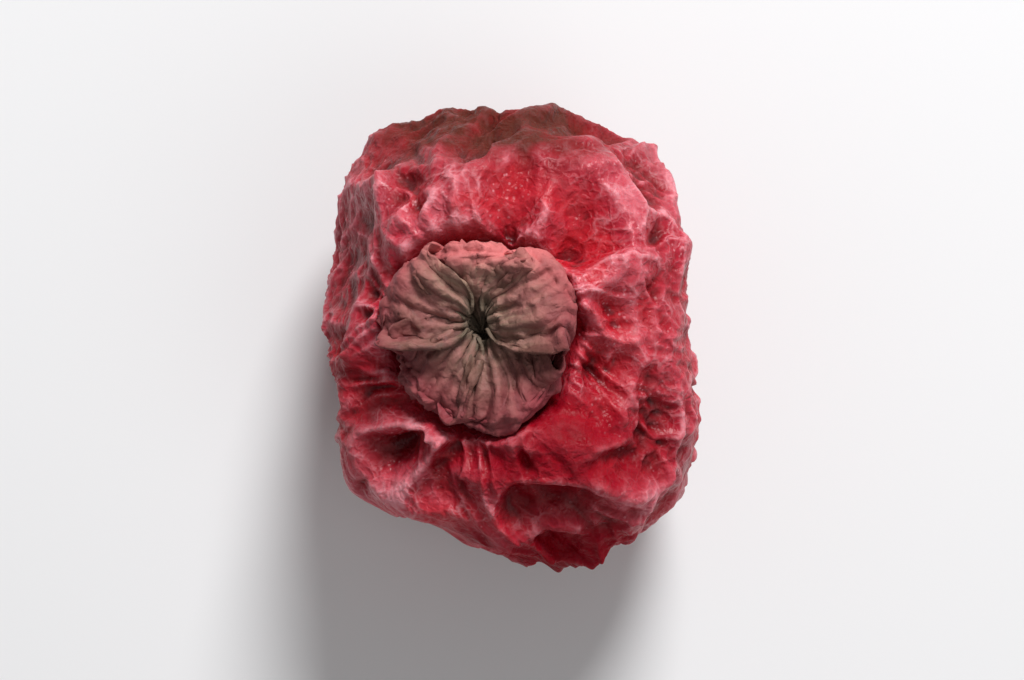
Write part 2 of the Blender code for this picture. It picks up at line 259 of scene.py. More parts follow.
def vertex_places(edit: bmesh.types.BMesh) -> np.ndarray:
    """The places of a bmesh's vertices, as rows."""
    return np.array([vertex.co[:] for vertex in edit.verts])


def move_vertices(edit: bmesh.types.BMesh, places: np.ndarray | list[Vector]) -> None:
    """Move each vertex of a bmesh to its own place."""
    for vertex, place in zip(edit.verts, places):
        vertex.co = place


def add_object(name: str, data: bpy.types.ID) -> bpy.types.Object:
    """Put a new object into the scene.

    Args:
        name: its name.
        data: its mesh, light or camera.

    Returns:
        The object, at the origin.
    """
    added = bpy.data.objects.new(name, data)
    bpy.context.scene.collection.objects.link(added)
    return added


def add_piece(name: str, edit: bmesh.types.BMesh, replaced: str,
              material: bpy.types.Material) -> bpy.types.Object:
    """Turn a bmesh into a piece that stands for a node of the frame.

    Args:
        name: the piece's name.
        edit: the finished bmesh, which is freed.
        replaced: the node that the piece stands for.
        material: the finish.

    Returns:
        The new object, at the origin, shaded smooth.
    """
    mesh = bpy.data.meshes.new(name)
    edit.to_mesh(mesh)
    edit.free()
    mesh.shade_smooth()
    mesh.materials.append(material)
    piece = add_object(name, mesh)
    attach(piece, "root")
    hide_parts(replaced)
    return piece


def set_marks(mesh: bpy.types.Mesh, marks: dict[Mark, np.ndarray]) -> None:
    """Store numbers on each vertex of a mesh.

    Args:
        mesh: the mesh.
        marks: one number a vertex for each attribute.
    """
    for mark, values in marks.items():
        attribute = mesh.attributes.new(mark.value, "FLOAT", "POINT")
        attribute.data.foreach_set("value", values.astype(np.float32))


class Surface:
    """The vertices of a finished mesh, and how far each stands out from those round it."""

    def __init__(self, mesh: bpy.types.Mesh) -> None:
        """Read the mesh.

        Args:
            mesh: the finished mesh.
        """
        self.places = self.read(mesh.vertices, "co", 3, np.float64)
        self.normals = self.read(mesh.vertices, "normal", 3, np.float64)
        self.first, self.second = self.read(mesh.edges, "vertices", 2, np.int64).T
        self.count = len(self.places)
        self.neighbours = (np.bincount(self.first, minlength=self.count)
                           + np.bincount(self.second, minlength=self.count))

    @staticmethod
    def read(items: bpy.types.bpy_prop_collection, name: str, width: int, kind: type) -> np.ndarray:
        """Read one property of many items.

        Args:
            items: the items.
            name: the property.
            width: how many numbers it holds.
            kind: the numbers' type.

        Returns:
            One row for each item.
        """
        values = np.empty(len(items) * width, dtype=kind)
        items.foreach_get(name, values)
        return values.reshape(-1, width)

    def averaged(self, values: np.ndarray, rounds: int) -> np.ndarray:
        """Even out one number a vertex with its neighbours' numbers.

        Args:
            values: the numbers.
            rounds: how many times.

        Returns:
            The evened numbers.
        """
        for _ in range(rounds):
            total = (np.bincount(self.first, values[self.second], self.count)
                     + np.bincount(self.second, values[self.first], self.count))
            values = 0.3 * values + 0.7 * total / self.neighbours
        return values

    def raised(self, rounds: int) -> np.ndarray:
        """How far each vertex stands out from the evened surface.

        Args:
            rounds: how many times the surface is evened: more for broader forms.

        Returns:
            The height of each, as a share of the usual height.
        """
        smooth = np.stack([self.averaged(self.places[:, axis], rounds) for axis in range(3)], axis=1)
        height = np.sum((self.places - smooth) * self.normals, axis=1)
        return height / np.std(height)


class Nodes:
    """A material's node tree, with short calls for the nodes that the finishes use."""

    def __init__(self, name: str) -> None:
        """Make an empty finish with one Principled BSDF.

        Args:
            name: the material's name.
        """
        self.material = bpy.data.materials.new(name)
        self.material.use_nodes = True
        self.tree = self.material.node_tree
        self.shader = self.tree.nodes["Principled BSDF"]
        self.coordinates = self.new("TexCoord").outputs["Object"]

    def put(self, target: Socket, value: object) -> None:
        """Set an input, or link it when the value is an output.

        Args:
            target: the input.
            value: an output, a number or a colour.
        """
        if isinstance(value, Socket):
            self.tree.links.new(value, target)
        elif target.type == "RGBA":
            target.default_value = (*value, 1.0)
        else:
            target.default_value = value

    def new(self, kind: str, **inputs: object) -> bpy.types.Node:
        """Add a node, with underscores for the spaces in its inputs' names.

        Args:
            kind: the node's type, without the words that all share.
            inputs: an output, a number or a colour for each input.

        Returns:
            The node.
        """
        node = self.tree.nodes.new("ShaderNode" + kind)
        for name, value in inputs.items():
            self.put(node.inputs[name.replace("_", " ")], value)
        return node

    def attribute(self, mark: Mark) -> Socket:
        """Read a vertex attribute.

        Args:
            mark: which one.

        Returns:
            Its value.
        """
        node = self.new("Attribute")
        node.attribute_name = mark.value
        return node.outputs["Fac"]

    def noise(self, per_mm: float, detail: float = 3.0, roughness: float = 0.55,
              distortion: float = 0.0) -> Socket:
        """Noise in the object's own space.

        Args:
            per_mm: humps in a millimetre.
            detail: octaves.
            roughness: the finer octaves' strength.
            distortion: how far the noise bends itself.

        Returns:
            The noise, from 0 to 1.
        """
        return self.new("TexNoise", Vector=self.coordinates, Scale=per_mm / MM, Detail=detail,
                        Roughness=roughness, Distortion=distortion).outputs["Fac"]

    def cells(self, per_mm: float) -> Socket:
        """Distances to the nearest of a field of random points.

        Args:
            per_mm: points in a millimetre.

        Returns:
            The distance.
        """
        return self.new("TexVoronoi", Vector=self.coordinates, Scale=per_mm / MM).outputs["Distance"]

    def creases(self, per_mm: float, bend: float) -> Socket:
        """Distances to the wavy borders in a field of random cells.

        Args:
            per_mm: cells in a millimetre.
            bend: how far the borders wander, in metres.

        Returns:
            The distance, where half a cell is about 0.5.
        """
        wander = self.new("TexNoise", Vector=self.coordinates, Scale=0.8 * per_mm / MM, Detail=3.0)
        moved = self.new("VectorMath")
        moved.operation = "MULTIPLY_ADD"
        for place, value in enumerate((wander.outputs["Color"], (bend, bend, bend), self.coordinates)):
            self.put(moved.inputs[place], value)
        node = self.new("TexVoronoi", Vector=moved.outputs["Vector"], Scale=per_mm / MM)
        node.feature = "DISTANCE_TO_EDGE"
        return node.outputs["Distance"]

    def calculate(self, operation: str, first: object, second: object = 0.0,
                  clamp: bool = False) -> Socket:
        """One step of arithmetic.

        Args:
            operation: the Math node's operation.
            first: the first value.
            second: the second value.
            clamp: whether the result is kept from 0 to 1.

        Returns:
            The result.
        """
        node = self.new("Math")
        node.operation = operation
        node.use_clamp = clamp
        self.put(node.inputs[0], first)
        self.put(node.inputs[1], second)
        return node.outputs[0]

    def product(self, first: object, second: object) -> Socket:
        """The product of two values."""
        return self.calculate("MULTIPLY", first, second)

    def total(self, first: object, second: object, clamp: bool = False) -> Socket:
        """The sum of two values, kept from 0 to 1 if clamp is set."""
        return self.calculate("ADD", first, second, clamp)

    def fibres(self, turns: float, bend: float, per_mm: float) -> Socket:
        """Wavy fibres that run along a piece.

        Args:
            turns: how many lie across it, in radians.
            bend: how far they bend, in radians.
            per_mm: bends in a millimetre.

        Returns:
            From 0 between fibres to 1 on them.
        """
        wave = self.total(self.product(self.attribute(Mark.ACROSS), turns),
                          self.product(self.noise(per_mm), bend))
        return self.step(self.calculate("SINE", wave), -1.0, 1.0)

    def step(self, value: Socket, low: float, high: float, to_low: float = 0.0,
             to_high: float = 1.0) -> Socket:
        """A smooth step of a value.

        Args:
            value: what is stepped.
            low: where the step starts.
            high: where the step ends.
            to_low: the result at and below low.
            to_high: the result at and above high.

        Returns:
            The stepped value.
        """
        node = self.new("MapRange", Value=value, From_Min=low, From_Max=high, To_Min=to_low,
                        To_Max=to_high)
        node.interpolation_type = "SMOOTHSTEP"
        return node.outputs["Result"]

    def ramp(self, value: Socket, stops: Sequence[tuple[float, Colour]]) -> Socket:
        """A colour for each value.

        Args:
            value: what is looked up, from 0 to 1.
            stops: each stop's place and colour.

        Returns:
            The colour.
        """
        node = self.new("ValToRGB", Fac=value)
        elements = node.color_ramp.elements
        while len(elements) < len(stops):
            elements.new(0.5)
        for element, (place, colour) in zip(elements, stops):
            element.position = place
            element.color = (*colour, 1.0)
        return node.outputs["Color"]

    def blend(self, share: object, under: object, over: object, kind: str = "MIX") -> Socket:
        """One colour laid over another.

        Args:
            share: how much of the upper colour shows.
            under: the lower colour.
            over: the upper colour.
            kind: the blend type.

        Returns:
            The blended colour.
        """
        node = self.new("Mix")
        node.data_type = "RGBA"
        node.blend_type = kind
        for name, value in (("Factor", share), ("A", under), ("B", over)):
            self.put(node.inputs[name], value)
        return node.outputs["Result"]

    def relief(self, *layers: tuple[Socket, float, float]) -> Socket:
        """Bumps that lie on each other.

        Args:
            layers: the height of each, from 0 to 1, its strength, and how high 1 is in millimetres.

        Returns:
            The bent normal.
        """
        normal = None
        for height, strength, depth in layers:
            node = self.new("Bump", Height=height, Strength=strength, Distance=depth * MM)
            if normal is not None:
                self.put(node.inputs["Normal"], normal)
            normal = node.outputs["Normal"]
        return normal

    def shade(self, **values: object) -> bpy.types.Material:
        """Set the shader's sockets, with underscores for the spaces in their names.

        Args:
            values: an output, a number or a colour for each socket.

        Returns:
            The finished material.
        """
        for name, value in values.items():
            self.put(self.shader.inputs[name.replace("_", " ")], value)
        return self.material


@dataclass(frozen=True)
class SkinFinish:
    """Dry crimson skin: painted shade in its pits, pale pink frosting and painted highlight along its
    creases.
    """

    # These five follow how raised the skin is: painted shade in the pits, painted highlight on the
    # crests.
    pit_shade: Colour = (0.075, 0.001, 0.003)
    hollow: Colour = (0.185, 0.003, 0.007)
    facet: Colour = (0.335, 0.007, 0.020)
    slope: Colour = (0.400, 0.016, 0.036)
    crest: Colour = (0.500, 0.055, 0.082)
    bright_red: Colour = (0.490, 0.009, 0.020)
    # plum: a dark purple-red, which also serves as painted shade.
    plum: Colour = (0.225, 0.001, 0.007)
    # tan is kept dark, partly as painted shade along the top.
    tan: Colour = (0.095, 0.020, 0.013)
    # Pale pink for the raised skin: partly the skin's bloom, partly painted highlight.
    bloom_and_highlight: Colour = (0.600, 0.155, 0.195)
    # Pale pink frosting, which also serves as painted highlight.
    frost_and_highlight: Colour = (0.780, 0.350, 0.395)
    roughness: Point = (0.30, 0.62)
    specular: Point = (0.24, 0.05)
    coat: Point = (0.06, 0.01)
    coat_roughness: float = 0.22
    glow: float = 0.32
    glow_depth: float = 0.20 * MM

    def level(self, nodes: Nodes, uneven: Socket) -> Socket:
        """How raised the skin is, which paints shade in its pits and highlight on its crests.

        Args:
            nodes: the finish's nodes.
            uneven: small chance variations.

        Returns:
            From 0 in its pits to 1 on its crests.
        """
        mottle = nodes.noise(0.9, detail=4.0, distortion=0.6)
        broad = nodes.product(nodes.calculate("SUBTRACT", mottle, 0.5), 0.35)
        # The bright patches raise the level, which lifts the painted shade: partly painted light.
        broad = nodes.total(broad, nodes.product(nodes.attribute(Mark.BRIGHT), 0.22))
        return nodes.total(nodes.total(nodes.attribute(Mark.LEVEL), uneven), broad, clamp=True)

    def ground(self, nodes: Nodes, level: Socket) -> Socket:
        """The skin's colour, with painted shade and highlight, and its bright red, plum and tan patches.

        Args:
            nodes: the finish's nodes.
            level: how raised the skin is.

        Returns:
            The colour.
        """
        # Painted shade in the pits and painted highlight on the crests.
        colour = nodes.ramp(level, ((0.05, self.pit_shade), (0.28, self.hollow), (0.52, self.facet),
                                    (0.74, self.slope), (0.98, self.crest)))
        # Bright red on the raised skin and in the bright patches, which are partly painted light.
        red = nodes.total(nodes.step(nodes.noise(0.7), 0.50, 0.68, 0.0, 0.6),
                          nodes.attribute(Mark.BRIGHT), clamp=True)
        red = nodes.product(red, nodes.step(level, 0.15, 0.45, 0.1, 0.9))
        colour = nodes.blend(red, colour, self.bright_red)
        # Plum where the noise and the plum patches put it: partly the skin's plum tone, partly painted
        # shade.
        plum = nodes.total(nodes.step(nodes.noise(0.5, detail=2.0), 0.56, 0.75, 0.0, 0.5),
                           nodes.attribute(Mark.PLUM), clamp=True)
        colour = nodes.blend(plum, colour, self.plum)
        # Tan where the tan patches put it: partly tan tone, partly painted shade along the top.
        tan = nodes.product(nodes.attribute(Mark.TAN),
                            nodes.step(nodes.noise(2.4), 0.30, 0.62, 0.72, 1.0))
        return nodes.blend(tan, colour, self.tan)

    def material(self) -> bpy.types.Material:
        """Build the finish.

        Returns:
            The material.
        """
        nodes = Nodes("currant_skin")
        grain = nodes.noise(9.0, roughness=0.65)
        uneven = nodes.product(nodes.calculate("SUBTRACT", grain, 0.5), 0.25)
        level = self.level(nodes, uneven)
        colour = self.ground(nodes, level)
        # The frost patches: pale frosting with painted highlight.
        frost_and_highlight_patches = nodes.attribute(Mark.FROST)
        covered = nodes.total(nodes.attribute(Mark.PLUM), nodes.attribute(Mark.TAN), clamp=True)
        bare = nodes.step(covered, 0.0, 0.8, 1.0, 0.08)
        # Paler on the raised skin: partly the skin's bloom, partly painted highlight.
        bloom_and_highlight = nodes.total(nodes.step(nodes.noise(1.1, detail=5.0, roughness=0.65), 0.48, 0.66),
                            frost_and_highlight_patches, clamp=True)
        bloom_and_highlight = nodes.product(bloom_and_highlight, nodes.step(level, 0.38, 0.85, 0.0, 0.42))
        colour = nodes.blend(nodes.product(bloom_and_highlight, bare), colour, self.bloom_and_highlight)
        # Pale frosting along the creases, broken up by noise: partly frosting, partly painted highlight.
        patchy = nodes.noise(2.0, detail=5.0, roughness=0.65)
        frost_and_highlight_share = nodes.product(frost_and_highlight_patches, nodes.step(patchy, 0.36, 0.56, 0.3, 1.0))
        frost_and_highlight_share = nodes.total(frost_and_highlight_share, nodes.step(patchy, 0.44, 0.60, 0.02, 0.80), clamp=True)
        frost_and_highlight_share = nodes.product(frost_and_highlight_share, nodes.step(covered, 0.0, 0.8, 1.0, 0.12))
        crease = nodes.step(nodes.total(nodes.attribute(Mark.CREASE), uneven), 0.64, 1.0)
        colour = nodes.blend(nodes.product(nodes.product(crease, frost_and_highlight_share), 0.50), colour, self.frost_and_highlight)
        coarse, fine = nodes.creases(2.2, 0.60 * MM), nodes.creases(6.0, 0.24 * MM)
        # Pale lines along the crinkles, where the skin is raised: painted highlight.
        lines = nodes.total(nodes.step(coarse, 0.0, 0.08, 0.70, 0.0),
                            nodes.step(fine, 0.0, 0.12, 0.40, 0.0), clamp=True)
        highlight_line_mask = nodes.product(nodes.step(patchy, 0.40, 0.62, 0.10, 1.0),
                              nodes.step(level, 0.25, 0.75, 0.15, 1.0))
        lines = nodes.product(lines, nodes.product(highlight_line_mask, bare))
        colour = nodes.blend(nodes.product(lines, 0.42), colour, self.frost_and_highlight)
        # Darker between the fine crinkles: painted shade.
        dent_shade = nodes.product(nodes.step(fine, 0.10, 0.45),
                               nodes.step(patchy, 0.62, 0.36, 0.05, 0.40))
        colour = nodes.blend(dent_shade, colour, self.hollow)
        dots = nodes.step(nodes.cells(11.0), 0.10, 0.30, 1.0, 0.0)
        speckle = nodes.product(dots, nodes.step(nodes.noise(1.8, detail=2.0), 0.50, 0.66))
        colour = nodes.blend(nodes.product(nodes.product(speckle, bare), 0.45), colour, self.frost_and_highlight)
        return nodes.shade(
            Base_Color=colour,
            Roughness=nodes.step(nodes.noise(2.2), 0.35, 0.7, *self.roughness),
            Normal=nodes.relief(
                (grain, 0.45, 0.030),
                (nodes.step(coarse, 0.0, 0.30, 1.0, 0.0), 0.60, 0.030),
                (nodes.step(fine, 0.0, 0.30, 1.0, 0.0), 0.60, 0.016),
                (nodes.noise(26.0, detail=2.0), 0.35, 0.010),
                (dots, 0.30, 0.010),
            ),
            Subsurface_Weight=self.glow,
            Subsurface_Radius=(1.0, 0.12, 0.12),
            Subsurface_Scale=self.glow_depth,
            Specular_IOR_Level=nodes.step(covered, 0.0, 0.8, *self.specular),
            Coat_Weight=nodes.step(covered, 0.0, 0.8, *self.coat),
            Coat_Roughness=self.coat_roughness,
        )


@dataclass(frozen=True)
class PaperFinish:
    """The withered flower: dry, papery and fibrous, mauve-brown, grey-green towards its slit, painted
    lighter at its hood.
    """

    dark: Colour = (0.055, 0.014, 0.013)
    body: Colour = (0.205, 0.062, 0.056)
    pale: Colour = (0.370, 0.160, 0.140)
    green: Colour = (0.195, 0.118, 0.082)
    # sage is the inner green painted lighter on the hood side: painted light.
    sage: Colour = (0.350, 0.262, 0.178)
    slit: Colour = (0.130, 0.100, 0.066)
    mauve: Colour = (0.235, 0.024, 0.036)
    # blush is the rim's pink on the hood side, painted lighter there: partly painted light.
    blush: Colour = (0.660, 0.165, 0.165)
    brown: Colour = (0.085, 0.038, 0.022)

    def material(self) -> bpy.types.Material:
        """Build the finish.

        Returns:
            The material.
        """
        nodes = Nodes("withered_flower")
        along = nodes.attribute(Mark.ALONG)
        fibre = nodes.fibres(46.0, 6.0, 2.5)
        mottle = nodes.noise(4.5, detail=6.0, roughness=0.68, distortion=0.8)
        colour = nodes.ramp(mottle, ((0.28, self.dark), (0.48, self.body), (0.72, self.pale)))
        uneven = nodes.step(nodes.noise(1.6, detail=5.0, roughness=0.65), 0.38, 0.58, 0.25, 1.0)
        inner = nodes.product(nodes.step(along, 0.56, 0.78, 0.0, 0.85), uneven)
        # The inner green, painted lighter towards the hood: painted light.
        green_lit_at_hood = nodes.blend(nodes.attribute(Mark.HOOD), self.green, self.sage)
        colour = nodes.blend(inner, colour, green_lit_at_hood)
        colour = nodes.blend(nodes.step(fibre, 0.55, 1.0, 0.0, 0.30), colour, self.pale)
        colour = nodes.blend(nodes.step(fibre, 0.0, 0.40, 0.50, 0.0), colour, self.dark)
        dry = nodes.noise(3.2, detail=5.0, roughness=0.7)
        aside = nodes.calculate("SUBTRACT", nodes.attribute(Mark.ACROSS), 0.5)
        edge = nodes.step(nodes.calculate("ABSOLUTE", aside), 0.38, 0.5)
        edge = nodes.product(edge, nodes.step(dry, 0.42, 0.56))
        colour = nodes.blend(nodes.product(edge, 0.8), colour, self.brown)
        colour = nodes.blend(nodes.step(dry, 0.56, 0.70, 0.0, 0.65), colour, self.brown)
        colour = nodes.blend(nodes.step(dry, 0.42, 0.30, 0.0, 0.40), colour, self.pale)
        # The rim is mauve, and pink towards the hood, partly painted light.
        ring = nodes.product(nodes.attribute(Mark.RING),
                             nodes.step(nodes.noise(2.0), 0.3, 0.65, 0.60, 0.95))
        rosy = nodes.blend(nodes.attribute(Mark.HOOD), self.mauve, self.blush)
        colour = nodes.blend(ring, colour, rosy)
        colour = nodes.blend(nodes.step(along, 0.90, 1.0, 0.0, 0.8), colour, self.slit)
        crinkle = nodes.step(nodes.creases(5.0, 0.20 * MM), 0.0, 0.35, 1.0, 0.0)
        return nodes.shade(
            Base_Color=colour,
            Roughness=nodes.step(mottle, 0.3, 0.7, 0.65, 0.9),
            Normal=nodes.relief((fibre, 0.7, 0.022), (crinkle, 0.6, 0.024),
                                (nodes.noise(14.0, detail=4.0), 0.6, 0.02)),
            Subsurface_Weight=0.06,
            Subsurface_Radius=(1.0, 0.6, 0.5),
            Subsurface_Scale=0.10 * MM,
        )


@dataclass(frozen=True)
class StalkFinish:
    """The stalk's dry straw, greyer and darker where it is torn."""

    dark: Colour = (0.120, 0.070, 0.040)
    body: Colour = (0.420, 0.290, 0.170)
    light: Colour = (0.640, 0.510, 0.340)

    def material(self) -> bpy.types.Material:
        """Build the finish.

        Returns:
            The material.
        """
        nodes = Nodes("stalk_straw")
        fibre = nodes.fibres(60.0, 4.0, 3.0)
        mottle = nodes.noise(5.0, detail=4.0)
        colour = nodes.ramp(mottle, ((0.25, self.dark), (0.5, self.body), (0.78, self.light)))
        colour = nodes.blend(nodes.product(fibre, 0.4), colour, self.light)
        torn = nodes.step(nodes.attribute(Mark.ALONG), 0.8, 1.0, 0.0, 0.7)
        colour = nodes.blend(torn, colour, self.dark)
        return nodes.shade(Base_Color=colour, Roughness=0.85, Normal=nodes.relief((fibre, 0.7, 0.02)))


@dataclass(frozen=True)
class FloorFinish:
    """A plain pale matt floor."""

    colour: Colour = (0.80, 0.80, 0.81)
    roughness: float = 0.75

    def material(self) -> bpy.types.Material:
        """Build the finish.

        Returns:
            The material.
        """
        nodes = Nodes("pale_floor")
        faint = nodes.step(nodes.noise(0.05, detail=2.0), 0.3, 0.7, 0.985, 1.0)
        colour = nodes.blend(1.0, self.colour, faint, kind="MULTIPLY")
        return nodes.shade(Base_Color=colour, Roughness=self.roughness)


@dataclass(frozen=True)
class Placed:
    """A ridge or hollow that is placed on the upper side, in millimetres.

    A ridge has a height, a width and the points that it runs through; a hollow has a
    depth, a radius and its one place. Both are seen from above, from the berry's middle.
    """

    kind: Relief
    height: float
    width: float
    points: tuple[Point, ...]


PLACED_RELIEF = (
    Placed(Relief.RIDGE, 0.20, 0.17, ((-1.9, 2.7), (-2.25, 1.6), (-2.4, 0.4), (-2.45, -0.9))),
    Placed(Relief.RIDGE, 0.26, 0.20, ((1.1, 2.5), (1.8, 1.7), (1.75, 0.7), (1.95, -0.3), (1.7, -1.2))),
    Placed(Relief.RIDGE, 0.16, 0.17, ((1.1, 2.6), (2.2, 1.9), (2.45, 0.6), (2.35, -1.0))),
    Placed(Relief.RIDGE, 0.20, 0.20, ((-1.7, 2.6), (-0.6, 2.35), (0.4, 2.6), (1.1, 2.5))),
    Placed(Relief.RIDGE, 0.18, 0.15, ((-0.75, 2.3), (-0.85, 1.5))),
    Placed(Relief.RIDGE, 0.16, 0.15, ((0.55, 2.2), (0.35, 1.4), (0.9, 0.9))),
    Placed(Relief.RIDGE, 0.26, 0.12, ((-2.4, -1.3), (-1.9, -1.25), (-1.1, -1.45))),
    Placed(Relief.RIDGE, 0.32, 0.14, ((-2.4, -1.3), (-2.35, -2.1), (-1.8, -2.35), (-1.1, -1.45))),
    Placed(Relief.RIDGE, 0.18, 0.13, ((-0.6, -1.45), (0.5, -1.4), (1.9, -1.55))),
    Placed(Relief.RIDGE, 0.20, 0.14, ((-0.9, -1.95), (0.4, -1.9), (1.9, -2.1))),
    Placed(Relief.RIDGE, 0.30, 0.18, ((-1.8, -2.35), (-0.9, -2.45), (-0.1, -2.75), (1.0, -2.7))),
    Placed(Relief.HOLLOW, 0.34, 0.25, ((-1.90, -1.75),)),
    Placed(Relief.HOLLOW, 0.30, 0.32, ((1.4, -0.45),)),
    Placed(Relief.HOLLOW, 0.24, 0.38, ((1.15, 1.4),)),
    Placed(Relief.HOLLOW, 0.22, 0.45, ((-0.1, 1.8),)),
    Placed(Relief.HOLLOW, 0.22, 0.42, ((-1.95, 0.9),)),
    Placed(Relief.HOLLOW, 0.20, 0.50, ((0.9, -2.35),)),
)


@dataclass(frozen=True)
class Patch:
    """A patch of colour on the upper side, in millimetres, seen from above."""

    mark: Mark
    strength: float
    middle: Point
    reach: Point


# The tan band along the top and the plum patches are partly painted shade, the bright patches partly
# painted light, and the frost patches partly painted highlight.
PATCHES = (
    Patch(Mark.TAN, 1.5, (-0.2, 3.20), (2.0, 0.64)),
    Patch(Mark.TAN, 0.75, (0.35, 2.75), (1.1, 0.40)),
    Patch(Mark.TAN, 0.45, (-2.65, -0.9), (0.35, 0.7)),
    Patch(Mark.BRIGHT, 0.9, (-0.9, -2.55), (0.9, 0.35)),
    Patch(Mark.BRIGHT, 0.8, (0.2, 1.9), (1.2, 0.35)),
    Patch(Mark.BRIGHT, 0.9, (1.5, 0.1), (0.7, 1.0)),
    Patch(Mark.BRIGHT, 0.9, (0.9, 1.3), (0.6, 0.45)),
    Patch(Mark.BRIGHT, 0.6, (-1.2, -1.2), (0.6, 0.35)),
    Patch(Mark.PLUM, 0.97, (0.6, -3.30), (1.6, 0.60)),
    Patch(Mark.PLUM, 0.20, (-1.6, -0.9), (0.5, 0.6)),
    Patch(Mark.PLUM, 0.95, (0.7, -2.9), (1.1, 0.50)),
    Patch(Mark.PLUM, 0.85, (0.5, -1.7), (1.5, 0.45)),
    Patch(Mark.PLUM, 1.0, (0.8, -1.25), (0.75, 0.5)),
    Patch(Mark.PLUM, 0.45, (-2.2, -0.2), (0.5, 0.8)),
    Patch(Mark.FROST, 0.9, (-1.9, -1.7), (0.7, 0.6)),
    Patch(Mark.FROST, 0.7, (2.0, 2.1), (0.5, 0.5)),
    Patch(Mark.FROST, 0.6, (-2.3, 1.3), (0.35, 1.2)),
    Patch(Mark.FROST, 0.45, (-0.6, 1.6), (1.1, 0.35)),
    Patch(Mark.FROST, 0.6, (1.9, 0.3), (0.6, 1.0)),
)


@dataclass(frozen=True)
class Seat:
    """A flat place pressed into the skin, where another piece stands."""

    place: Vector
    facing: Vector
    gap: float = 0.04 * MM

    def stand(self, edit: bmesh.types.BMesh, places: np.ndarray) -> None:
        """Stand a bmesh on the seat, just clear of the skin.

        Args:
            edit: the bmesh.
            places: where each vertex goes, in the seat's own space.
        """
        turn = Vector((0.0, 0.0, 1.0)).rotation_difference(self.facing).to_matrix()
        lift = self.place + self.facing * self.gap
        move_vertices(edit, [turn @ Vector(place) + lift for place in places])


@dataclass(frozen=True)
class Folds:
    """A layer of crumpling: cells, what they are drawn from, their squeeze and their height."""

    count: int
    seed: int
    draw: float
    height: float


@dataclass(frozen=True)
class Spokes:
    """Ridges that run out from a line: their count, seed, height, width and unevenness."""

    count: int
    seed: int
    height: float
    width: float
    uneven: float = 0.28
    weakest: float = 0.35


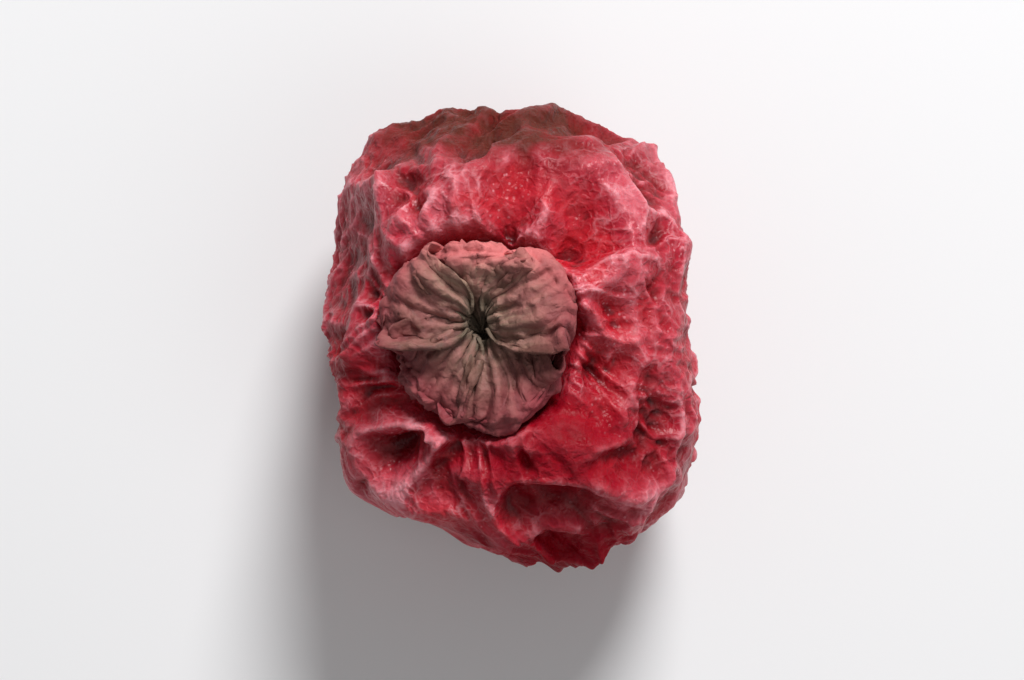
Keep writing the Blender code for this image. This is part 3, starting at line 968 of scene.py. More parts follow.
@dataclass
class Berry:
    """The berry's crumpled skin, in metres unless a field says otherwise."""

    finish: SkinFinish = field(default_factory=SkinFinish)
    size: Triple = (5.5 * MM, 6.8 * MM, 5.2 * MM)
    fullness: float = 2.5
    squareness: float = 3.5
    lean: float = -0.04
    taper: float = 0.48
    taper_place: Point = (0.56, 1.05)
    hook: float = 0.60 * MM
    cuts: int = 98
    crest_rounding: float = 0.055 * MM
    fine_rounding: float = 0.018 * MM
    flower_direction: Vector = field(default_factory=lambda: Vector((-0.20, 0.05, 1.0)).normalized())
    stalk_direction: Vector = field(default_factory=lambda: Vector((0.68, -0.40, -0.68)).normalized())
    facet_count: int = 38
    facet_seed: int = 11
    facet_jitter: float = 0.45
    facet_cut: Point = (0.015, 0.135)
    facet_dish: float = 0.28 * MM
    facet_ridge_width: float = 0.20 * MM
    facet_share: float = 0.75
    fullest: float = 1.03
    highest_ridge: float = 0.14 * MM
    crumple_count: int = 150
    crumple_seed: int = 5
    crumple_jitter: float = 0.55
    crumple_draw: float = 0.62
    crumple_depth: float = 0.15 * MM
    crumple_ridge_width: float = 0.16 * MM
    crumple_middle: float = 0.35
    crumple_least: float = 0.3
    crumple_patch_size: float = 0.7
    vein_spokes: Spokes = Spokes(15, 8, 0.08 * MM, 0.12 * MM)
    vein_fade: Point = (0.25, 0.6)
    pucker_spokes: Spokes = Spokes(34, 28, 0.085 * MM, 0.055 * MM)
    pucker_places: Point = (0.58, 0.40)
    pucker_reach: float = 0.17
    wander_size: float = 0.55
    fine_wander_size: float = 0.55 / 2.6
    fine_wander_share: float = 0.4
    wander_amount: float = 0.13
    wander_seed: int = 3
    placed_fade: float = 0.3
    rest_middle: Point = (0.04 * MM, 0.03 * MM)
    rest_corner_radius: float = 1.4 * MM
    rest_corner_turns: tuple[float, ...] = (math.radians(30.0), math.radians(150.0), math.radians(270.0))
    rest_lift: float = 0.14 * MM
    rest_lift_width: float = 0.20 * MM
    rest_wander: float = 0.24 * MM
    rest_wander_size: float = 0.7 * MM
    rest_fine_wander_size: float = 0.25 * MM
    rest_pucker_size: float = 0.22 * MM
    rest_pucker_edge: float = 0.3 * MM
    rest_hollow: float = 0.05 * MM
    rest_blend_width: float = 0.22 * MM
    flower_seat: Triple = (1.15 * MM, 1.65 * MM, 0.52 * MM)
    stalk_seat: Triple = (0.38 * MM, 1.0 * MM, 0.42 * MM)
    folds: tuple[Folds, ...] = (
        Folds(150, 61, 0.80, 0.050 * MM),
        Folds(560, 71, 0.60, 0.038 * MM),
        Folds(2300, 81, 0.75, 0.020 * MM),
    )
    fold_jitter: float = 0.7
    fold_patch_size: float = 0.5
    fold_least: float = 0.4
    fold_range: float = 0.9
    fold_limit: float = 1.5
    twist_size: float = 0.12
    wrinkle_twist: float = 0.035
    pucker_twist: float = 0.05
    wrinkle_count: int = 700
    wrinkle_seed: int = 21
    wrinkle_jitter: float = 0.6
    wrinkle_draw: float = 0.38
    wrinkle_patch_size: float = 0.35
    wrinkle_middle: float = 0.3
    wrinkle_height: float = 0.045 * MM
    wrinkle_width: float = 0.038 * MM
    low_end_rounding: tuple[float, ...] = (0.92, 0.95, 0.975)
    low_end_rounds: int = 8
    grain_height: float = 0.010 * MM
    grain_size: float = 0.055
    fine_grain_size: float = 0.026
    fine_grain_share: float = 0.6
    # How raised the skin is, which the finish paints as shade in its pits and highlight on its crests.
    level_rounds: tuple[int, int, int] = (260, 50, 6)
    level_middle: float = 0.44
    level_shares: Triple = (0.12, 0.09, 0.04)
    crease_middle: float = 0.38
    crease_shares: Triple = (0.0, 0.09, 0.19)
    patch_fade: Point = (0.9, 2.1)
    patch_waver: float = 0.28 * MM
    patch_waver_size: float = 0.7 * MM
    patch_waver_seed: int = 51

    def mean_radius(self) -> float:
        """The berry's mean radius."""
        return sum(self.size) / 6.0

    def wander(self, directions: np.ndarray) -> np.ndarray:
        """Bend directions by noise, so that ridges run in wavy lines.

        Args:
            directions: rows of unit vectors.

        Returns:
            The bent directions.
        """
        broad = vector_noise(directions, self.wander_size, self.wander_seed)
        fine = vector_noise(directions, self.fine_wander_size, self.wander_seed + 7)
        return unit(directions + self.wander_amount * (broad + self.fine_wander_share * fine))

    def full_radius(self, directions: np.ndarray) -> np.ndarray:
        """The berry's radius before it crumples.

        Args:
            directions: rows of unit vectors.

        Returns:
            The radius in each direction.
        """
        scaled = np.abs(directions) / (np.array(self.size) / 2.0)
        level = np.sum(scaled[:, :2] ** self.squareness, axis=1) ** (1.0 / self.squareness)
        return (level ** self.fullness + scaled[:, 2] ** self.fullness) ** (-1.0 / self.fullness)

    def leaned(self, points: np.ndarray) -> np.ndarray:
        """Lean the berry, and narrow and hook its lower end.

        Args:
            points: rows of places.

        Returns:
            The moved places.
        """
        low_end = ease(*self.taper_place, -points[:, 1] / (self.size[1] / 2.0))
        moved = points.copy()
        moved[:, 0] *= 1.0 - self.taper * low_end
        moved[:, 0] += self.lean * points[:, 1] + self.hook * low_end
        return moved

    def facets(self, directions: np.ndarray) -> tuple[np.ndarray, np.ndarray]:
        """The main flats of the skin.

        Args:
            directions: rows of unit vectors.

        Returns:
            The flats' radius, and the distance to the ridge between two flats.
        """
        rng = np.random.default_rng(self.facet_seed + 1)
        normals = spread_directions(self.facet_count, self.facet_seed, self.facet_jitter)
        cut = rng.uniform(*self.facet_cut, self.facet_count)
        full = directions * self.full_radius(directions)[:, None]
        touch = np.max(full @ normals.T, axis=0) * (1.0 - cut)
        reach = np.partition(touch / np.maximum(directions @ normals.T, 0.05), 1, axis=1)
        return reach[:, 0], reach[:, 1] - reach[:, 0]

    def cells(self, directions: np.ndarray, count: int, seed: int, jitter: float,
              draw: float) -> tuple[np.ndarray, np.ndarray]:
        """Distances in a field of random cells.

        Args:
            directions: rows of unit vectors.
            count: how many cells.
            seed: what their places are drawn from.
            jitter: how uneven they are.
            draw: their squeeze along the line from stalk to flower, which draws them out.

        Returns:
            The distance to the nearest cell's middle, as a share of the cells' spacing, and
            the distance to the border with the next cell, in metres.
        """
        axis = np.array((self.flower_direction - self.stalk_direction).normalized())
        squeeze = np.eye(3) - (1.0 - draw) * np.outer(axis, axis)
        tree = kdtree.KDTree(count)
        for index, centre in enumerate(spread_directions(count, seed, jitter) @ squeeze):
            tree.insert(centre, index)
        tree.balance()
        nearest = [tree.find_n(place, 2) for place in directions @ squeeze]
        apart = np.array([(pair[0][2], pair[1][2]) for pair in nearest])
        spacing = math.sqrt(4.0 * math.pi * draw / count)
        return apart[:, 0] / spacing, (apart[:, 1] - apart[:, 0]) * self.mean_radius()

    def spokes(self, directions: np.ndarray, axis: Vector, spread: Spokes,
               rounding: float) -> tuple[np.ndarray, np.ndarray]:
        """Ridges that run out from both ends of a line through the berry's middle.

        Args:
            directions: rows of unit vectors.
            axis: the line's direction.
            spread: the ridges' count, seed and width.
            rounding: how rounded their crests are.

        Returns:
            1 on a strong ridge and 0 between ridges, and how far each place is from the line.
        """
        rng = np.random.default_rng(spread.seed)
        side = axis.orthogonal().normalized()
        turn = np.arctan2(directions @ np.array(axis.cross(side)), directions @ np.array(side))
        from_axis = np.sqrt(np.maximum(1.0 - (directions @ np.array(axis)) ** 2, 0.0))
        steps = np.arange(spread.count) + rng.uniform(-spread.uneven, spread.uneven, spread.count)
        places = steps * 2.0 * math.pi / spread.count
        strength = rng.uniform(spread.weakest, 1.0, spread.count)
        apart = np.abs(turn_from(turn[:, None], places))
        apart = apart * (from_axis * self.mean_radius())[:, None]
        return np.max(strength * crest(apart, spread.width, rounding), axis=1), from_axis

    def veins(self, directions: np.ndarray) -> np.ndarray:
        """Ridges that run from the flower to the stalk.

        Args:
            directions: rows of unit vectors.

        Returns:
            Their height, in metres.
        """
        axis = (self.flower_direction - self.stalk_direction).normalized()
        ridges, from_axis = self.spokes(directions, axis, self.vein_spokes, self.crest_rounding)
        return self.vein_spokes.height * ridges * ease(*self.vein_fade, from_axis)

    def puckers(self, directions: np.ndarray) -> np.ndarray:
        """Short ridges where the skin gathers round the flower and the stalk.

        Args:
            directions: rows of unit vectors.

        Returns:
            Their height, in metres.
        """
        height = np.zeros(len(directions))
        for axis, middle in zip((self.flower_direction, self.stalk_direction), self.pucker_places):
            ridges, from_axis = self.spokes(directions, axis, self.pucker_spokes, self.fine_rounding)
            ridges = (ridges - self.wrinkle_middle) * (directions @ np.array(axis) > 0.0)
            height += self.pucker_spokes.height * ridges * bell(from_axis - middle, self.pucker_reach)
        return height

    def placed_relief(self, directions: np.ndarray) -> np.ndarray:
        """Height of the features that are placed on the upper side.

        Args:
            directions: rows of unit vectors.

        Returns:
            The height in each direction, in metres.
        """
        seen = self.leaned(directions * self.full_radius(directions)[:, None])[:, :2]
        relief = np.zeros(len(directions))
        for feature in PLACED_RELIEF:
            points = np.array(feature.points) * MM
            if feature.kind is Relief.RIDGE:
                form = crest(distance_to_line(seen, points), feature.width * MM, self.crest_rounding)
            else:
                form = bell(np.linalg.norm(seen - points[0], axis=1), feature.width * MM)
            relief += feature.kind.value * feature.height * MM * form
        return relief * ease(0.0, self.placed_fade, directions[:, 2])

    def skin_points(self, directions: np.ndarray) -> np.ndarray:
        """Places of the crumpled skin, before the seats are pressed in.

        Args:
            directions: rows of unit vectors.

        Returns:
            The place of the skin in each direction.
        """
        bent = self.wander(directions)
        plain = self.full_radius(directions)
        flat, from_ridge = self.facets(bent)
        radius = self.facet_share * np.minimum(flat, self.fullest * plain)
        radius += (1.0 - self.facet_share) * plain
        radius -= self.facet_dish * (1.0 - crest(from_ridge, self.facet_ridge_width, self.crest_rounding))
        patches = smooth_noise(directions, self.crumple_patch_size, self.crumple_seed + 20)
        patches = ease(-0.5, 0.5, patches)
        _, border = self.cells(bent, self.crumple_count, self.crumple_seed, self.crumple_jitter,
                               self.crumple_draw)
        depth = self.crumple_depth * (self.crumple_least + (1.0 - self.crumple_least) * patches)
        ridges = crest(border, self.crumple_ridge_width, self.crest_rounding)
        radius += depth * (ridges - self.crumple_middle)
        radius += self.veins(bent)
        radius += self.placed_relief(directions)
        raised = radius - plain
        radius = plain + np.where(raised > 0.0, self.highest_ridge * np.tanh(raised / self.highest_ridge),
                                  raised)
        radius += self.fine_wrinkles(bent, directions)
        return self.leaned(directions * radius[:, None])

    def fine_wrinkles(self, bent: np.ndarray, directions: np.ndarray) -> np.ndarray:
        """The folds, wrinkles and grain that lie in the crumples.

        Args:
            bent: the directions with the skin's wander.
            directions: the directions without it.

        Returns:
            Their height, in metres.
        """
        height = np.zeros(len(directions))
        for layer in self.folds:
            up, _ = self.cells(bent, layer.count, layer.seed, self.fold_jitter, layer.draw)
            down, _ = self.cells(bent, layer.count, layer.seed + 1, self.fold_jitter, layer.draw)
            patches = smooth_noise(directions, self.fold_patch_size, layer.seed + 2)
            strength = self.fold_least + self.fold_range * ease(-0.4, 0.5, patches)
            form = np.clip(up ** 2 - down ** 2, -self.fold_limit, self.fold_limit)
            height += layer.height * strength * form * 2.0
        twist = vector_noise(bent, self.twist_size, self.wrinkle_seed)
        _, border = self.cells(unit(bent + self.wrinkle_twist * twist), self.wrinkle_count,
                               self.wrinkle_seed, self.wrinkle_jitter, self.wrinkle_draw)
        patches = smooth_noise(directions, self.wrinkle_patch_size, self.wrinkle_seed + 9)
        where = ease(-0.25, 0.5, patches)
        ridges = crest(border, self.wrinkle_width, self.fine_rounding)
        height += self.wrinkle_height * where * (ridges - self.wrinkle_middle)
        height += self.puckers(unit(bent + self.pucker_twist * twist))
        grain = smooth_noise(directions, self.grain_size, self.wrinkle_seed + 12)
        fine = smooth_noise(directions, self.fine_grain_size, self.wrinkle_seed + 13)
        return height + self.grain_height * (grain + self.fine_grain_share * fine)

    def rounded_low_end(self, edit: bmesh.types.BMesh, directions: np.ndarray,
                        points: np.ndarray) -> np.ndarray:
        """Wear the narrowed low end rounder, most at its tip, at the same full length.

        Args:
            edit: the mesh that the points belong to.
            directions: rows of unit vectors.
            points: the skin's places.

        Returns:
            The rounded places.
        """
        move_vertices(edit, points)
        for start in self.low_end_rounding:
            near = [vertex for vertex, way in zip(edit.verts, -directions[:, 1]) if way > start]
            for _ in range(self.low_end_rounds):
                bmesh.ops.smooth_vert(edit, verts=near, factor=0.5, use_axis_x=True, use_axis_y=True,
                                      use_axis_z=True)
        rounded = vertex_places(edit)
        tip = np.argmin(rounded[:, 1])
        share = ease(self.low_end_rounding[0] / 2.0, 1.0, -directions[:, 1])
        rounded[:, 1] += (points[:, 1].min() - rounded[tip, 1]) * share / share[tip]
        return rounded

    def press_seat(self, points: np.ndarray, direction: Vector,
                   seat: Triple) -> tuple[np.ndarray, np.ndarray]:
        """Press a flat seat into the skin, with a hollow that eases out to its edge.

        Args:
            points: the skin's places.
            direction: the way to the seat from the berry's middle.
            seat: its radius, its edge's radius and its depth.

        Returns:
            The pressed places, and the place of the seat's middle.
        """
        radius, edge, depth = seat
        axis = np.array(direction)
        along = points @ axis
        apart = np.linalg.norm(points - np.outer(along, axis), axis=1)
        near = (along > 0.0) & (apart < edge)
        height = np.mean(along[near]) - depth
        moved = np.where(near, height + (along - height) * ease(radius, edge, apart), along)
        return points + np.outer(moved - along, axis), axis * height

    def press_rest(self, points: np.ndarray) -> np.ndarray:
        """Press the underside flat inside the rest spot, and keep the rest of it clear.

        Args:
            points: the skin's places, with the floor at z = 0.

        Returns:
            The pressed places.
        """
        turns = np.array(self.rest_corner_turns)
        ring = np.stack((np.cos(turns), np.sin(turns)), axis=1)
        corners = np.array(self.rest_middle) + self.rest_corner_radius * ring
        inside = np.full(len(points), np.inf)
        for start, end in zip(corners, np.roll(corners, -1, axis=0)):
            run = unit(end - start)
            from_start = points[:, :2] - start
            inside = np.minimum(inside, run[0] * from_start[:, 1] - run[1] * from_start[:, 0])
        flat = np.concatenate((points[:, :2], np.zeros((len(points), 1))), axis=1)
        broad = smooth_noise(flat, self.rest_wander_size, self.wander_seed + 20)
        fine = smooth_noise(flat, self.rest_fine_wander_size, self.wander_seed + 21)
        inside += self.rest_wander * (broad + 0.5 * fine)
        outside = np.minimum(inside, 0.0)
        lift = self.rest_lift * (1.0 - np.exp(outside / self.rest_lift_width))
        under = points[:, 2] < self.size[2] / 4.0
        drawn = np.where(under, np.exp(outside / self.rest_blend_width), 0.0)
        height = points[:, 2] + (lift - points[:, 2]) * drawn
        pressed = points.copy()
        pucker = np.maximum(smooth_noise(flat, self.rest_pucker_size, self.wander_seed + 22), 0.0)
        hollow = self.rest_hollow * pucker * ease(0.0, self.rest_pucker_edge, inside)
        pressed[:, 2] = np.where(under & (inside > 0.0), hollow, np.maximum(height, lift))
        return pressed

    def build(self) -> tuple[bpy.types.Object, Seat, Seat]:
        """Make the berry at full detail, inside the box of the frame's own berry.

        Returns:
            The piece, and the seats of the flower and of the stalk.
        """
        edit = bmesh.new()
        bmesh.ops.create_icosphere(edit, subdivisions=1, radius=1.0)
        bmesh.ops.subdivide_edges(edit, edges=edit.edges[:], cuts=self.cuts, use_grid_fill=True)
        directions = unit(vertex_places(edit))
        points = self.skin_points(directions)
        points, flower_place = self.press_seat(points, self.flower_direction, self.flower_seat)
        points, stalk_place = self.press_seat(points, self.stalk_direction, self.stalk_seat)
        share = 2.0 * self.rest_corner_radius / self.size[0]
        floor = -(1.0 - share ** self.fullness) ** (1.0 / self.fullness) * self.size[2] / 2.0
        low, high = points.min(axis=0), points.max(axis=0)
        low[2] = floor
        box_low, box_high = (np.array(corner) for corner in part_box("berry"))
        scale = (box_high - box_low) / (high - low)
        middle = np.array(((low[0] + high[0]) / 2.0, (low[1] + high[1]) / 2.0, floor))
        points = self.rounded_low_end(edit, directions, (points - middle) * scale)
        move_vertices(edit, self.press_rest(points))
        piece = add_piece("berry_skin", edit, "berry", self.finish.material())
        self.mark(piece.data)
        seats = [Seat(Vector((place - middle) * scale), Vector(unit(np.array(facing) / scale)))
                 for place, facing in ((flower_place, self.flower_direction),
                                       (stalk_place, self.stalk_direction))]
        return piece, seats[0], seats[1]

    def mark(self, mesh: bpy.types.Mesh) -> None:
        """Store how raised each point is, for the painted shade and highlight, and where the patches of
        colour are.

        Args:
            mesh: the finished skin.
        """
        surface = Surface(mesh)
        forms = np.stack([surface.raised(rounds) for rounds in self.level_rounds], axis=1)
        level = self.level_middle + forms @ np.array(self.level_shares)
        crease = self.crease_middle + forms @ np.array(self.crease_shares)
        marks = {Mark.LEVEL: np.clip(level, 0.0, 1.0), Mark.CREASE: np.clip(crease, 0.0, 1.0)}
        size, seed = self.patch_waver_size, self.patch_waver_seed
        waver = vector_noise(surface.places, size, seed)
        waver += 0.5 * vector_noise(surface.places, size / 3.0, seed + 2)
        seen = (surface.places + self.patch_waver * waver) / MM
        upper = ease(*self.patch_fade, seen[:, 2])
        for mark in (Mark.TAN, Mark.PLUM, Mark.BRIGHT, Mark.FROST):
            share = np.zeros(surface.count)
            for patch in PATCHES:
                if patch.mark is mark:
                    away = (seen[:, :2] - np.array(patch.middle)) / np.array(patch.reach)
                    share = np.maximum(share, patch.strength * np.exp(-np.sum(away ** 2, axis=1)))
            marks[mark] = np.clip(share * upper, 0.0, 1.0)
        set_marks(mesh, marks)


@dataclass(frozen=True)
class Sepal:
    """One shrivelled sepal.

    Its way, reach and height are its rim's. Its tip bends aside by its sway, and it lies
    over the sepals of a lower layer.
    """

    name: str
    turn: float
    reach: float
    height: float
    half_angle: float
    tip_share: float
    sway: float
    layer: int
    seed: int


SEPAL_ROUTE = np.array(((0.0, 0.0), (0.35, 0.32), (0.80, 0.66), (1.0, 0.90), (0.90, 1.02),
                        (0.60, 1.06), (0.25, 0.98), (0.0, 0.72)))


@dataclass(frozen=True)
class Crinkles:
    """How strongly a sepal's blade is bowed, pleated and crinkled, in millimetres."""

    bow: float = 0.07
    curl: float = 0.14
    pleats: float = 0.035
    dents: float = 0.095
    crumple: float = 0.070
    ribs: float = 0.012
    creases: float = 0.060
    ragged: float = 0.05

    def lift(self, across: np.ndarray, along: np.ndarray, folded: np.ndarray, cells: np.ndarray,
             seed: int) -> np.ndarray:
        """How far the blade is lifted off its plain form.

        Args:
            across: where across the blade, from -1 to 1.
            along: where along it, from 0 at its foot to 1 at its tip.
            folded: how far it is folded in there, from 0 to 1.
            cells: the places where the noises are read.
            seed: what the noises are drawn from.

        Returns:
            The lift, in metres.
        """
        pleats = np.cos(across * 1.9 * math.pi + 4.2 * smooth_noise(cells, 0.8, seed + 9))
        dents = smooth_noise(cells, 0.55, seed + 7)
        crumple = smooth_noise(cells, 0.30, seed) + 0.6 * smooth_noise(cells, 0.13, seed + 5)
        creases = 1.0 - np.abs(smooth_noise(cells, 0.28, seed + 11)) * 5.0
        ribs = np.cos(across * 7.0 * math.pi + 4.0 * smooth_noise(cells, 0.6, seed + 15))
        curled = folded * ease(0.70, 1.0, np.abs(across))
        lift = self.bow * (1.0 - across ** 2) + self.curl * curled + self.pleats * pleats
        lift += self.dents * dents + self.crumple * crumple + self.ribs * ribs
        return (lift + self.creases * np.maximum(creases, -0.4)) * ease(0.0, 0.25, along) * MM


@dataclass
class WitheredFlower:
    """The dried flower: a low cup with five sepals folded in over it, round a slit."""

    seat: Seat
    finish: PaperFinish = field(default_factory=PaperFinish)
    sepals: tuple[Sepal, ...] = (
        Sepal("sepal_right", math.radians(26.0), 1.46 * MM, 0.86 * MM, 0.84, 0.95, -0.20, 2, 31),
        Sepal("sepal_hood", math.radians(92.0), 1.14 * MM, 1.12 * MM, 0.84, 0.72, 0.10, 1, 32),
        Sepal("sepal_left", math.radians(150.0), 1.48 * MM, 0.92 * MM, 0.80, 0.90, 0.25, 3, 33),
        Sepal("sepal_low_left", math.radians(222.0), 1.20 * MM, 0.72 * MM, 0.76, 1.05, -0.15, 0, 34),
        Sepal("sepal_low_right", math.radians(292.0), 1.34 * MM, 0.66 * MM, 0.98, 0.90, 0.30, 1, 35),
    )
    spread: float = 0.45
    core_radius: float = 1.0 * MM
    core_height: float = 0.45 * MM
    core_weight: float = 0.12
    notch_share: float = 0.35
    foot_radius: float = 1.02 * MM
    wall_bulge: float = 1.5
    wall: float = 0.045 * MM
    hood_turn: float = math.radians(78.0)
    hood_spread: float = math.radians(58.0)
    ring_place: float = 0.47
    ring_width: float = 0.26
    slit: Point = (0.13 * MM, 0.34 * MM)
    slit_shift: float = 0.14 * MM
    foot_clearance: float = 1.01
    rim_turn: Point = (0.25, 0.60)
    fold_place: Point = (0.42, 0.66)
    blade_width: float = 0.80 * MM
    blade_middle: float = 0.45
    blade_reach: float = 0.56
    blade_height: float = 0.78
    blade_lift: float = 0.02 * MM
    blade_tilt: float = 0.03 * MM
    layer_lift: float = 0.025 * MM
    across_cuts: int = 44
    along_cuts: int = 66
    cup_reach_share: float = 0.93
    cup_rim_share: float = 0.86
    cup_floor: float = 0.42
    cup_dip: Point = (0.10, 0.70)
    cup_roughness: float = 0.02 * MM
    crinkles: Crinkles = field(default_factory=Crinkles)

    def rim(self, angle: np.ndarray) -> tuple[np.ndarray, np.ndarray]:
        """The rim of the folded sepals.

        Args:
            angle: the way round the flower.

        Returns:
            How far the rim reaches there, and how high it stands.
        """
        total = np.full(len(angle), self.core_weight)
        reach = total * self.core_radius
        height = total * self.core_height
        closest = np.zeros(len(angle))
        for sepal in self.sepals:
            weight = bell(turn_from(angle, sepal.turn), self.spread)
            total = total + weight
            reach = reach + weight * sepal.reach
            height = height + weight * sepal.height
            closest = np.maximum(closest, weight)
        kept = self.notch_share + (1.0 - self.notch_share) * closest
        return reach / total, self.core_height + (height / total - self.core_height) * kept

    def add(self, name: str, edit: bmesh.types.BMesh, places: np.ndarray, along: np.ndarray,
            across: np.ndarray, angle: np.ndarray, material: bpy.types.Material) -> bpy.types.Object:
        """Stand a bmesh on the seat as a piece, rosy round its rim and pinkest on the hood, which is
        painted lighter.

        Args:
            name: the piece's name.
            edit: the bmesh.
            places: where each vertex goes, in the seat's own space.
            along: how far each vertex is from the foot to the slit, from 0 to 1.
            across: where each vertex is across its sepal, from 0 to 1.
            angle: the way of each vertex round the flower.
            material: the finish.

        Returns:
            The piece.
        """
        self.seat.stand(edit, places)
        piece = add_piece(name, edit, "calyx", material)
        ring = np.where(along < self.ring_place, 1.0, bell(along - self.ring_place, self.ring_width))
        # The hood side gets painted light.
        hood = bell(turn_from(angle, self.hood_turn), self.hood_spread)
        set_marks(piece.data, {Mark.ALONG: along, Mark.ACROSS: across, Mark.RING: ring, Mark.HOOD: hood})
        return piece

    def build_cup(self, material: bpy.types.Material) -> bpy.types.Object:
        """The closed cup that the sepals lie on, with a dark dip in its middle.

        Args:
            material: the finish.

        Returns:
            The piece.
        """
        edit = bmesh.new()
        bmesh.ops.create_uvsphere(edit, u_segments=128, v_segments=64, radius=1.0)
        local = vertex_places(edit)
        below = local[:, 2] < 0.0
        angle = np.arctan2(local[:, 1], local[:, 0])
        from_middle = np.minimum(1.0, np.hypot(local[:, 0], local[:, 1]))
        reach, rim = self.rim(angle)
        reach = reach * self.cup_reach_share
        rim = rim * self.cup_rim_share
        down = np.clip(-local[:, 2], 0.0, 1.0)
        wall = reach + (self.foot_radius - reach) * down ** self.wall_bulge
        radius = np.where(below, wall * np.minimum(1.0, from_middle * 3.0), reach * from_middle)
        radius = radius * (1.0 + 0.012 * np.sin(15.0 * angle + 0.7) + 0.008 * np.sin(31.0 * angle))
        bowl = rim * (self.cup_floor + (1.0 - self.cup_floor) * ease(*self.cup_dip, from_middle))
        height = np.where(below, rim * (1.0 - down), bowl)
        height += smooth_noise(local, 0.12, 41) * self.cup_roughness * ease(0.0, 0.2, 1.0 - down)
        places = np.stack((radius * np.cos(angle), radius * np.sin(angle), height), axis=1)
        along = np.where(below, 0.5 * (1.0 - down), 0.5 + 0.5 * (1.0 - from_middle ** 2))
        across = (angle / math.pi + 1.0) * 1.5
        return self.add("flower_cup", edit, places, along, across, angle, material)

    def build_sepal(self, sepal: Sepal, material: bpy.types.Material) -> bpy.types.Object:
        """One thin crinkled sepal: up the cup, over its rim and in to the slit.

        Args:
            sepal: which one.
            material: the finish.

        Returns:
            The piece.
        """
        edit = bmesh.new()
        bmesh.ops.create_grid(edit, x_segments=self.across_cuts, y_segments=self.along_cuts, size=1.0)
        local = vertex_places(edit)
        across, along = local[:, 0], (local[:, 1] + 1.0) / 2.0
        cells = np.stack((across * 1.1, along * 2.4, np.full(len(along), sepal.seed * 1.7)), axis=1)
        angle = sepal.turn + across * sepal.half_angle * (0.80 + 0.20 * ease(0.0, 0.4, along))
        reach, rim = self.rim(angle)
        own_reach, own_rim = (float(value[0]) for value in self.rim(np.array([sepal.turn])))
        tip = 1.0 / math.hypot(math.cos(sepal.turn) / self.slit[0], math.sin(sepal.turn) / self.slit[1])
        out, up = smooth_route(SEPAL_ROUTE, along)
        up = up * (1.0 + (sepal.tip_share - 1.0) * ease(0.55, 1.0, along))
        folded = ease(*self.fold_place, along)
        lift = self.crinkles.lift(across, along, folded, cells, sepal.seed)
        ragged = smooth_noise(cells, 0.20, sepal.seed + 13) * bell(along - 0.43, 0.14)
        outward = np.cos(math.pi * ease(*self.rim_turn, along) / 2.0)
        aside = self.crinkles.ragged * MM * (ragged - across ** 2) + outward * (lift - 0.04 * MM)
        upward = np.sqrt(1.0 - outward ** 2) * lift
        inner = np.where(along < 3.0 / 7.0, self.foot_radius * self.foot_clearance, tip)
        wrapped = inner + (reach - inner) * out + aside
        blade = tip + (own_reach - tip) * out + aside
        from_middle = (along - self.blade_middle) / self.blade_reach
        half_width = self.blade_width * np.sqrt(np.maximum(1.0 - from_middle ** 2, 0.0))
        bend = sepal.turn + sepal.sway * ease(0.5, 1.0, along)
        side = across * half_width * (1.0 + 0.20 * smooth_noise(cells, 0.4, sepal.seed + 17)
                                      + 0.12 * smooth_noise(cells, 0.12, sepal.seed + 19))
        x = (1.0 - folded) * wrapped * np.cos(angle)
        y = (1.0 - folded) * wrapped * np.sin(angle)
        x = x + folded * (blade * np.cos(bend) - side * np.sin(bend))
        y = y + folded * (blade * np.sin(bend) + side * np.cos(bend))
        level = self.blade_height * ((1.0 - folded) * rim + folded * own_rim) * up
        stacked = self.blade_lift + self.blade_tilt * across * (1.0 - folded)
        stacked += self.layer_lift * sepal.layer * folded
        shift = self.slit_shift * ease(0.5, 1.0, along)
        places = np.stack((x, y + shift, level + upward + stacked), axis=1)
        piece = self.add(sepal.name, edit, places, along, (across + 1.0) / 2.0, angle, material)
        sheet = piece.modifiers.new("wall", "SOLIDIFY")
        sheet.thickness = self.wall
        sheet.offset = 0.0
        return piece

    def build(self) -> list[bpy.types.Object]:
        """Make the cup and the five sepals.

        Returns:
            The pieces.
        """
        material = self.finish.material()
        pieces = [self.build_cup(material)]
        pieces += [self.build_sepal(sepal, material) for sepal in self.sepals]
        return pieces


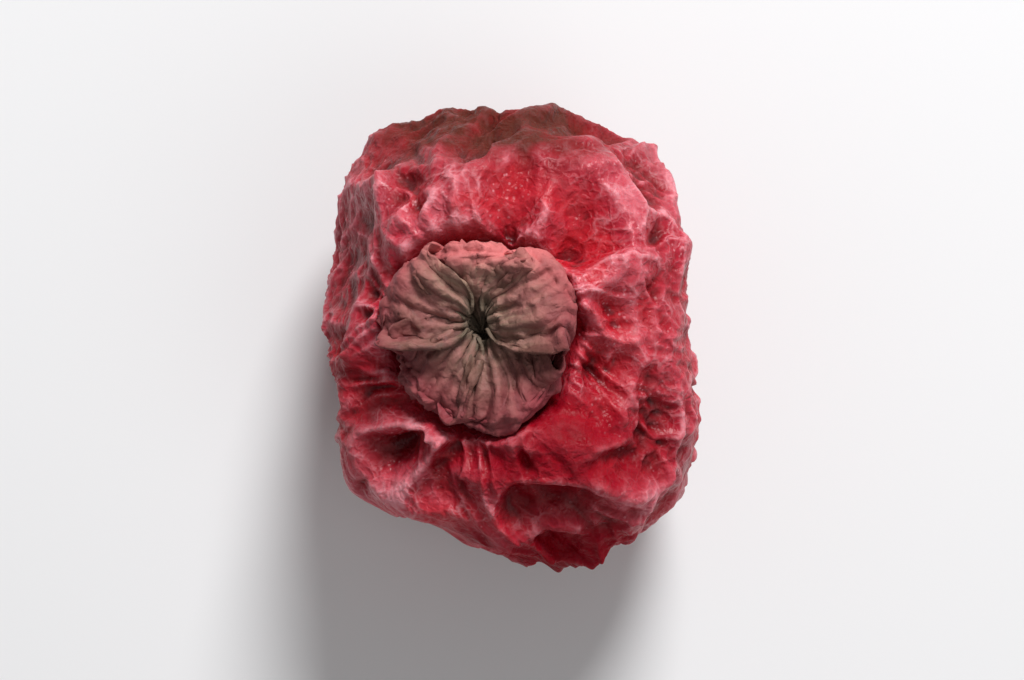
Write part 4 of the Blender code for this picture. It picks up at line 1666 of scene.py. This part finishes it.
@dataclass
class StalkStub:
    """The torn end of the stalk."""

    seat: Seat
    finish: StalkFinish = field(default_factory=StalkFinish)
    base_radius: float = 0.27 * MM
    tip_radius: float = 0.20 * MM
    length: float = 0.62 * MM
    ribs: Point = (0.07, 0.04)
    tear: float = 0.08 * MM
    hollow: float = 0.10 * MM
    end_level: float = 0.8
    end_radius: float = 0.6
    sides: int = 64
    rings: int = 40

    def build(self) -> bpy.types.Object:
        """Make the stub: ribbed along its length and ragged at its torn end.

        Returns:
            The piece.
        """
        edit = bmesh.new()
        bmesh.ops.create_uvsphere(edit, u_segments=self.sides, v_segments=self.rings, radius=1.0)
        local = vertex_places(edit)
        angle = np.arctan2(local[:, 1], local[:, 0])
        from_middle = np.minimum(1.0, np.hypot(local[:, 0], local[:, 1])) / self.end_radius
        share = np.clip((local[:, 2] / self.end_level + 1.0) / 2.0, 0.0, 1.0)
        radius = self.base_radius + (self.tip_radius - self.base_radius) * share ** 0.6
        radius *= 1.0 + self.ribs[0] * np.sin(7.0 * angle + 1.0) + self.ribs[1] * np.sin(17.0 * angle)
        radius *= np.where(np.abs(local[:, 2]) > self.end_level, from_middle, 1.0)
        ragged = self.tear * (np.sin(2.0 * angle + 0.6) + 0.7 * smooth_noise(local, 0.3, 51))
        height = share * self.length + ragged * ease(0.75, 0.85, local[:, 2])
        height -= self.hollow * (1.0 - from_middle) * (local[:, 2] > self.end_level)
        self.seat.stand(edit, np.stack((radius * np.cos(angle), radius * np.sin(angle), height), axis=1))
        piece = add_piece("stalk_end", edit, "stalk_stub", self.finish.material())
        set_marks(piece.data, {Mark.ALONG: share, Mark.ACROSS: (angle / math.pi + 1.0) / 2.0})
        return piece


@dataclass(frozen=True)
class Light:
    """A soft round light that faces the berry: its place, width and power."""

    name: str
    place: Triple
    width: float
    watts: float


@dataclass
class Studio:
    """The pale floor, the soft lights and the camera that looks straight down."""

    floor_width: float = 0.6
    floor_finish: FloorFinish = field(default_factory=FloorFinish)
    lens: float = 120.0
    sensor: float = 36.0
    frame_width: float = 14.8 * MM
    aim: Vector = field(default_factory=lambda: Vector((0.0, 0.0, 2.0 * MM)))
    sky: float = 0.25
    lights: tuple[Light, ...] = (
        Light("key", (0.022, 0.078, 0.074), 0.040, 0.142),
        Light("fill", (0.060, -0.050, 0.080), 0.100, 0.020),
    )

    def build_floor(self) -> bpy.types.Object:
        """Lay the floor.

        Returns:
            The floor.
        """
        edit = bmesh.new()
        bmesh.ops.create_grid(edit, x_segments=2, y_segments=2, size=self.floor_width / 2.0)
        mesh = bpy.data.meshes.new("floor")
        edit.to_mesh(mesh)
        edit.free()
        mesh.materials.append(self.floor_finish.material())
        floor = add_object("floor", mesh)
        return floor

    def build_lights(self) -> None:
        """Light the berry softly from the upper right of the picture."""
        for light in self.lights:
            data = bpy.data.lights.new(light.name, "AREA")
            data.shape = "DISK"
            data.size = light.width
            data.energy = light.watts
            lamp = add_object(light.name, data)
            lamp.location = light.place
            way = self.aim - Vector(light.place)
            lamp.rotation_euler = way.to_track_quat("-Z", "Y").to_euler()
        world = bpy.data.worlds.new("sky")
        bpy.context.scene.world = world
        world.use_nodes = True
        background = world.node_tree.nodes["Background"]
        background.inputs["Color"].default_value = (1.0, 1.0, 1.0, 1.0)
        background.inputs["Strength"].default_value = self.sky

    def build_camera(self) -> bpy.types.Object:
        """Set the camera straight above the berry, with +Y at the top of the picture.

        Returns:
            The camera.
        """
        camera = bpy.data.cameras.new("camera")
        camera.lens = self.lens
        camera.sensor_width = self.sensor
        camera.clip_start = 1.0 * MM
        camera.clip_end = 10.0
        rig = add_object("camera", camera)
        low, high = CAD_BOX
        middle = (Vector(low) + Vector(high)) / 2.0
        away = self.frame_width * self.lens / self.sensor
        rig.location = (middle.x, middle.y, middle.z + away)
        bpy.context.scene.camera = rig
        return rig

    def build(self) -> None:
        """Make the floor, the lights and the camera."""
        self.build_floor()
        self.build_lights()
        self.build_camera()
        bpy.context.scene.view_settings.view_transform = "Standard"


def main() -> None:
    """Build the berry, its flower, its stalk's end and the studio, and report each piece."""
    logging.basicConfig(level=logging.INFO, format="%(message)s")
    skin, flower_seat, stalk_seat = Berry().build()
    pieces = [skin]
    pieces += WitheredFlower(flower_seat).build()
    pieces.append(StalkStub(stalk_seat).build())
    Studio().build()
    for piece in pieces:
        LOG.info("%s: %d faces", piece.name, len(piece.data.polygons))


if __name__ == "__main__":
    main()
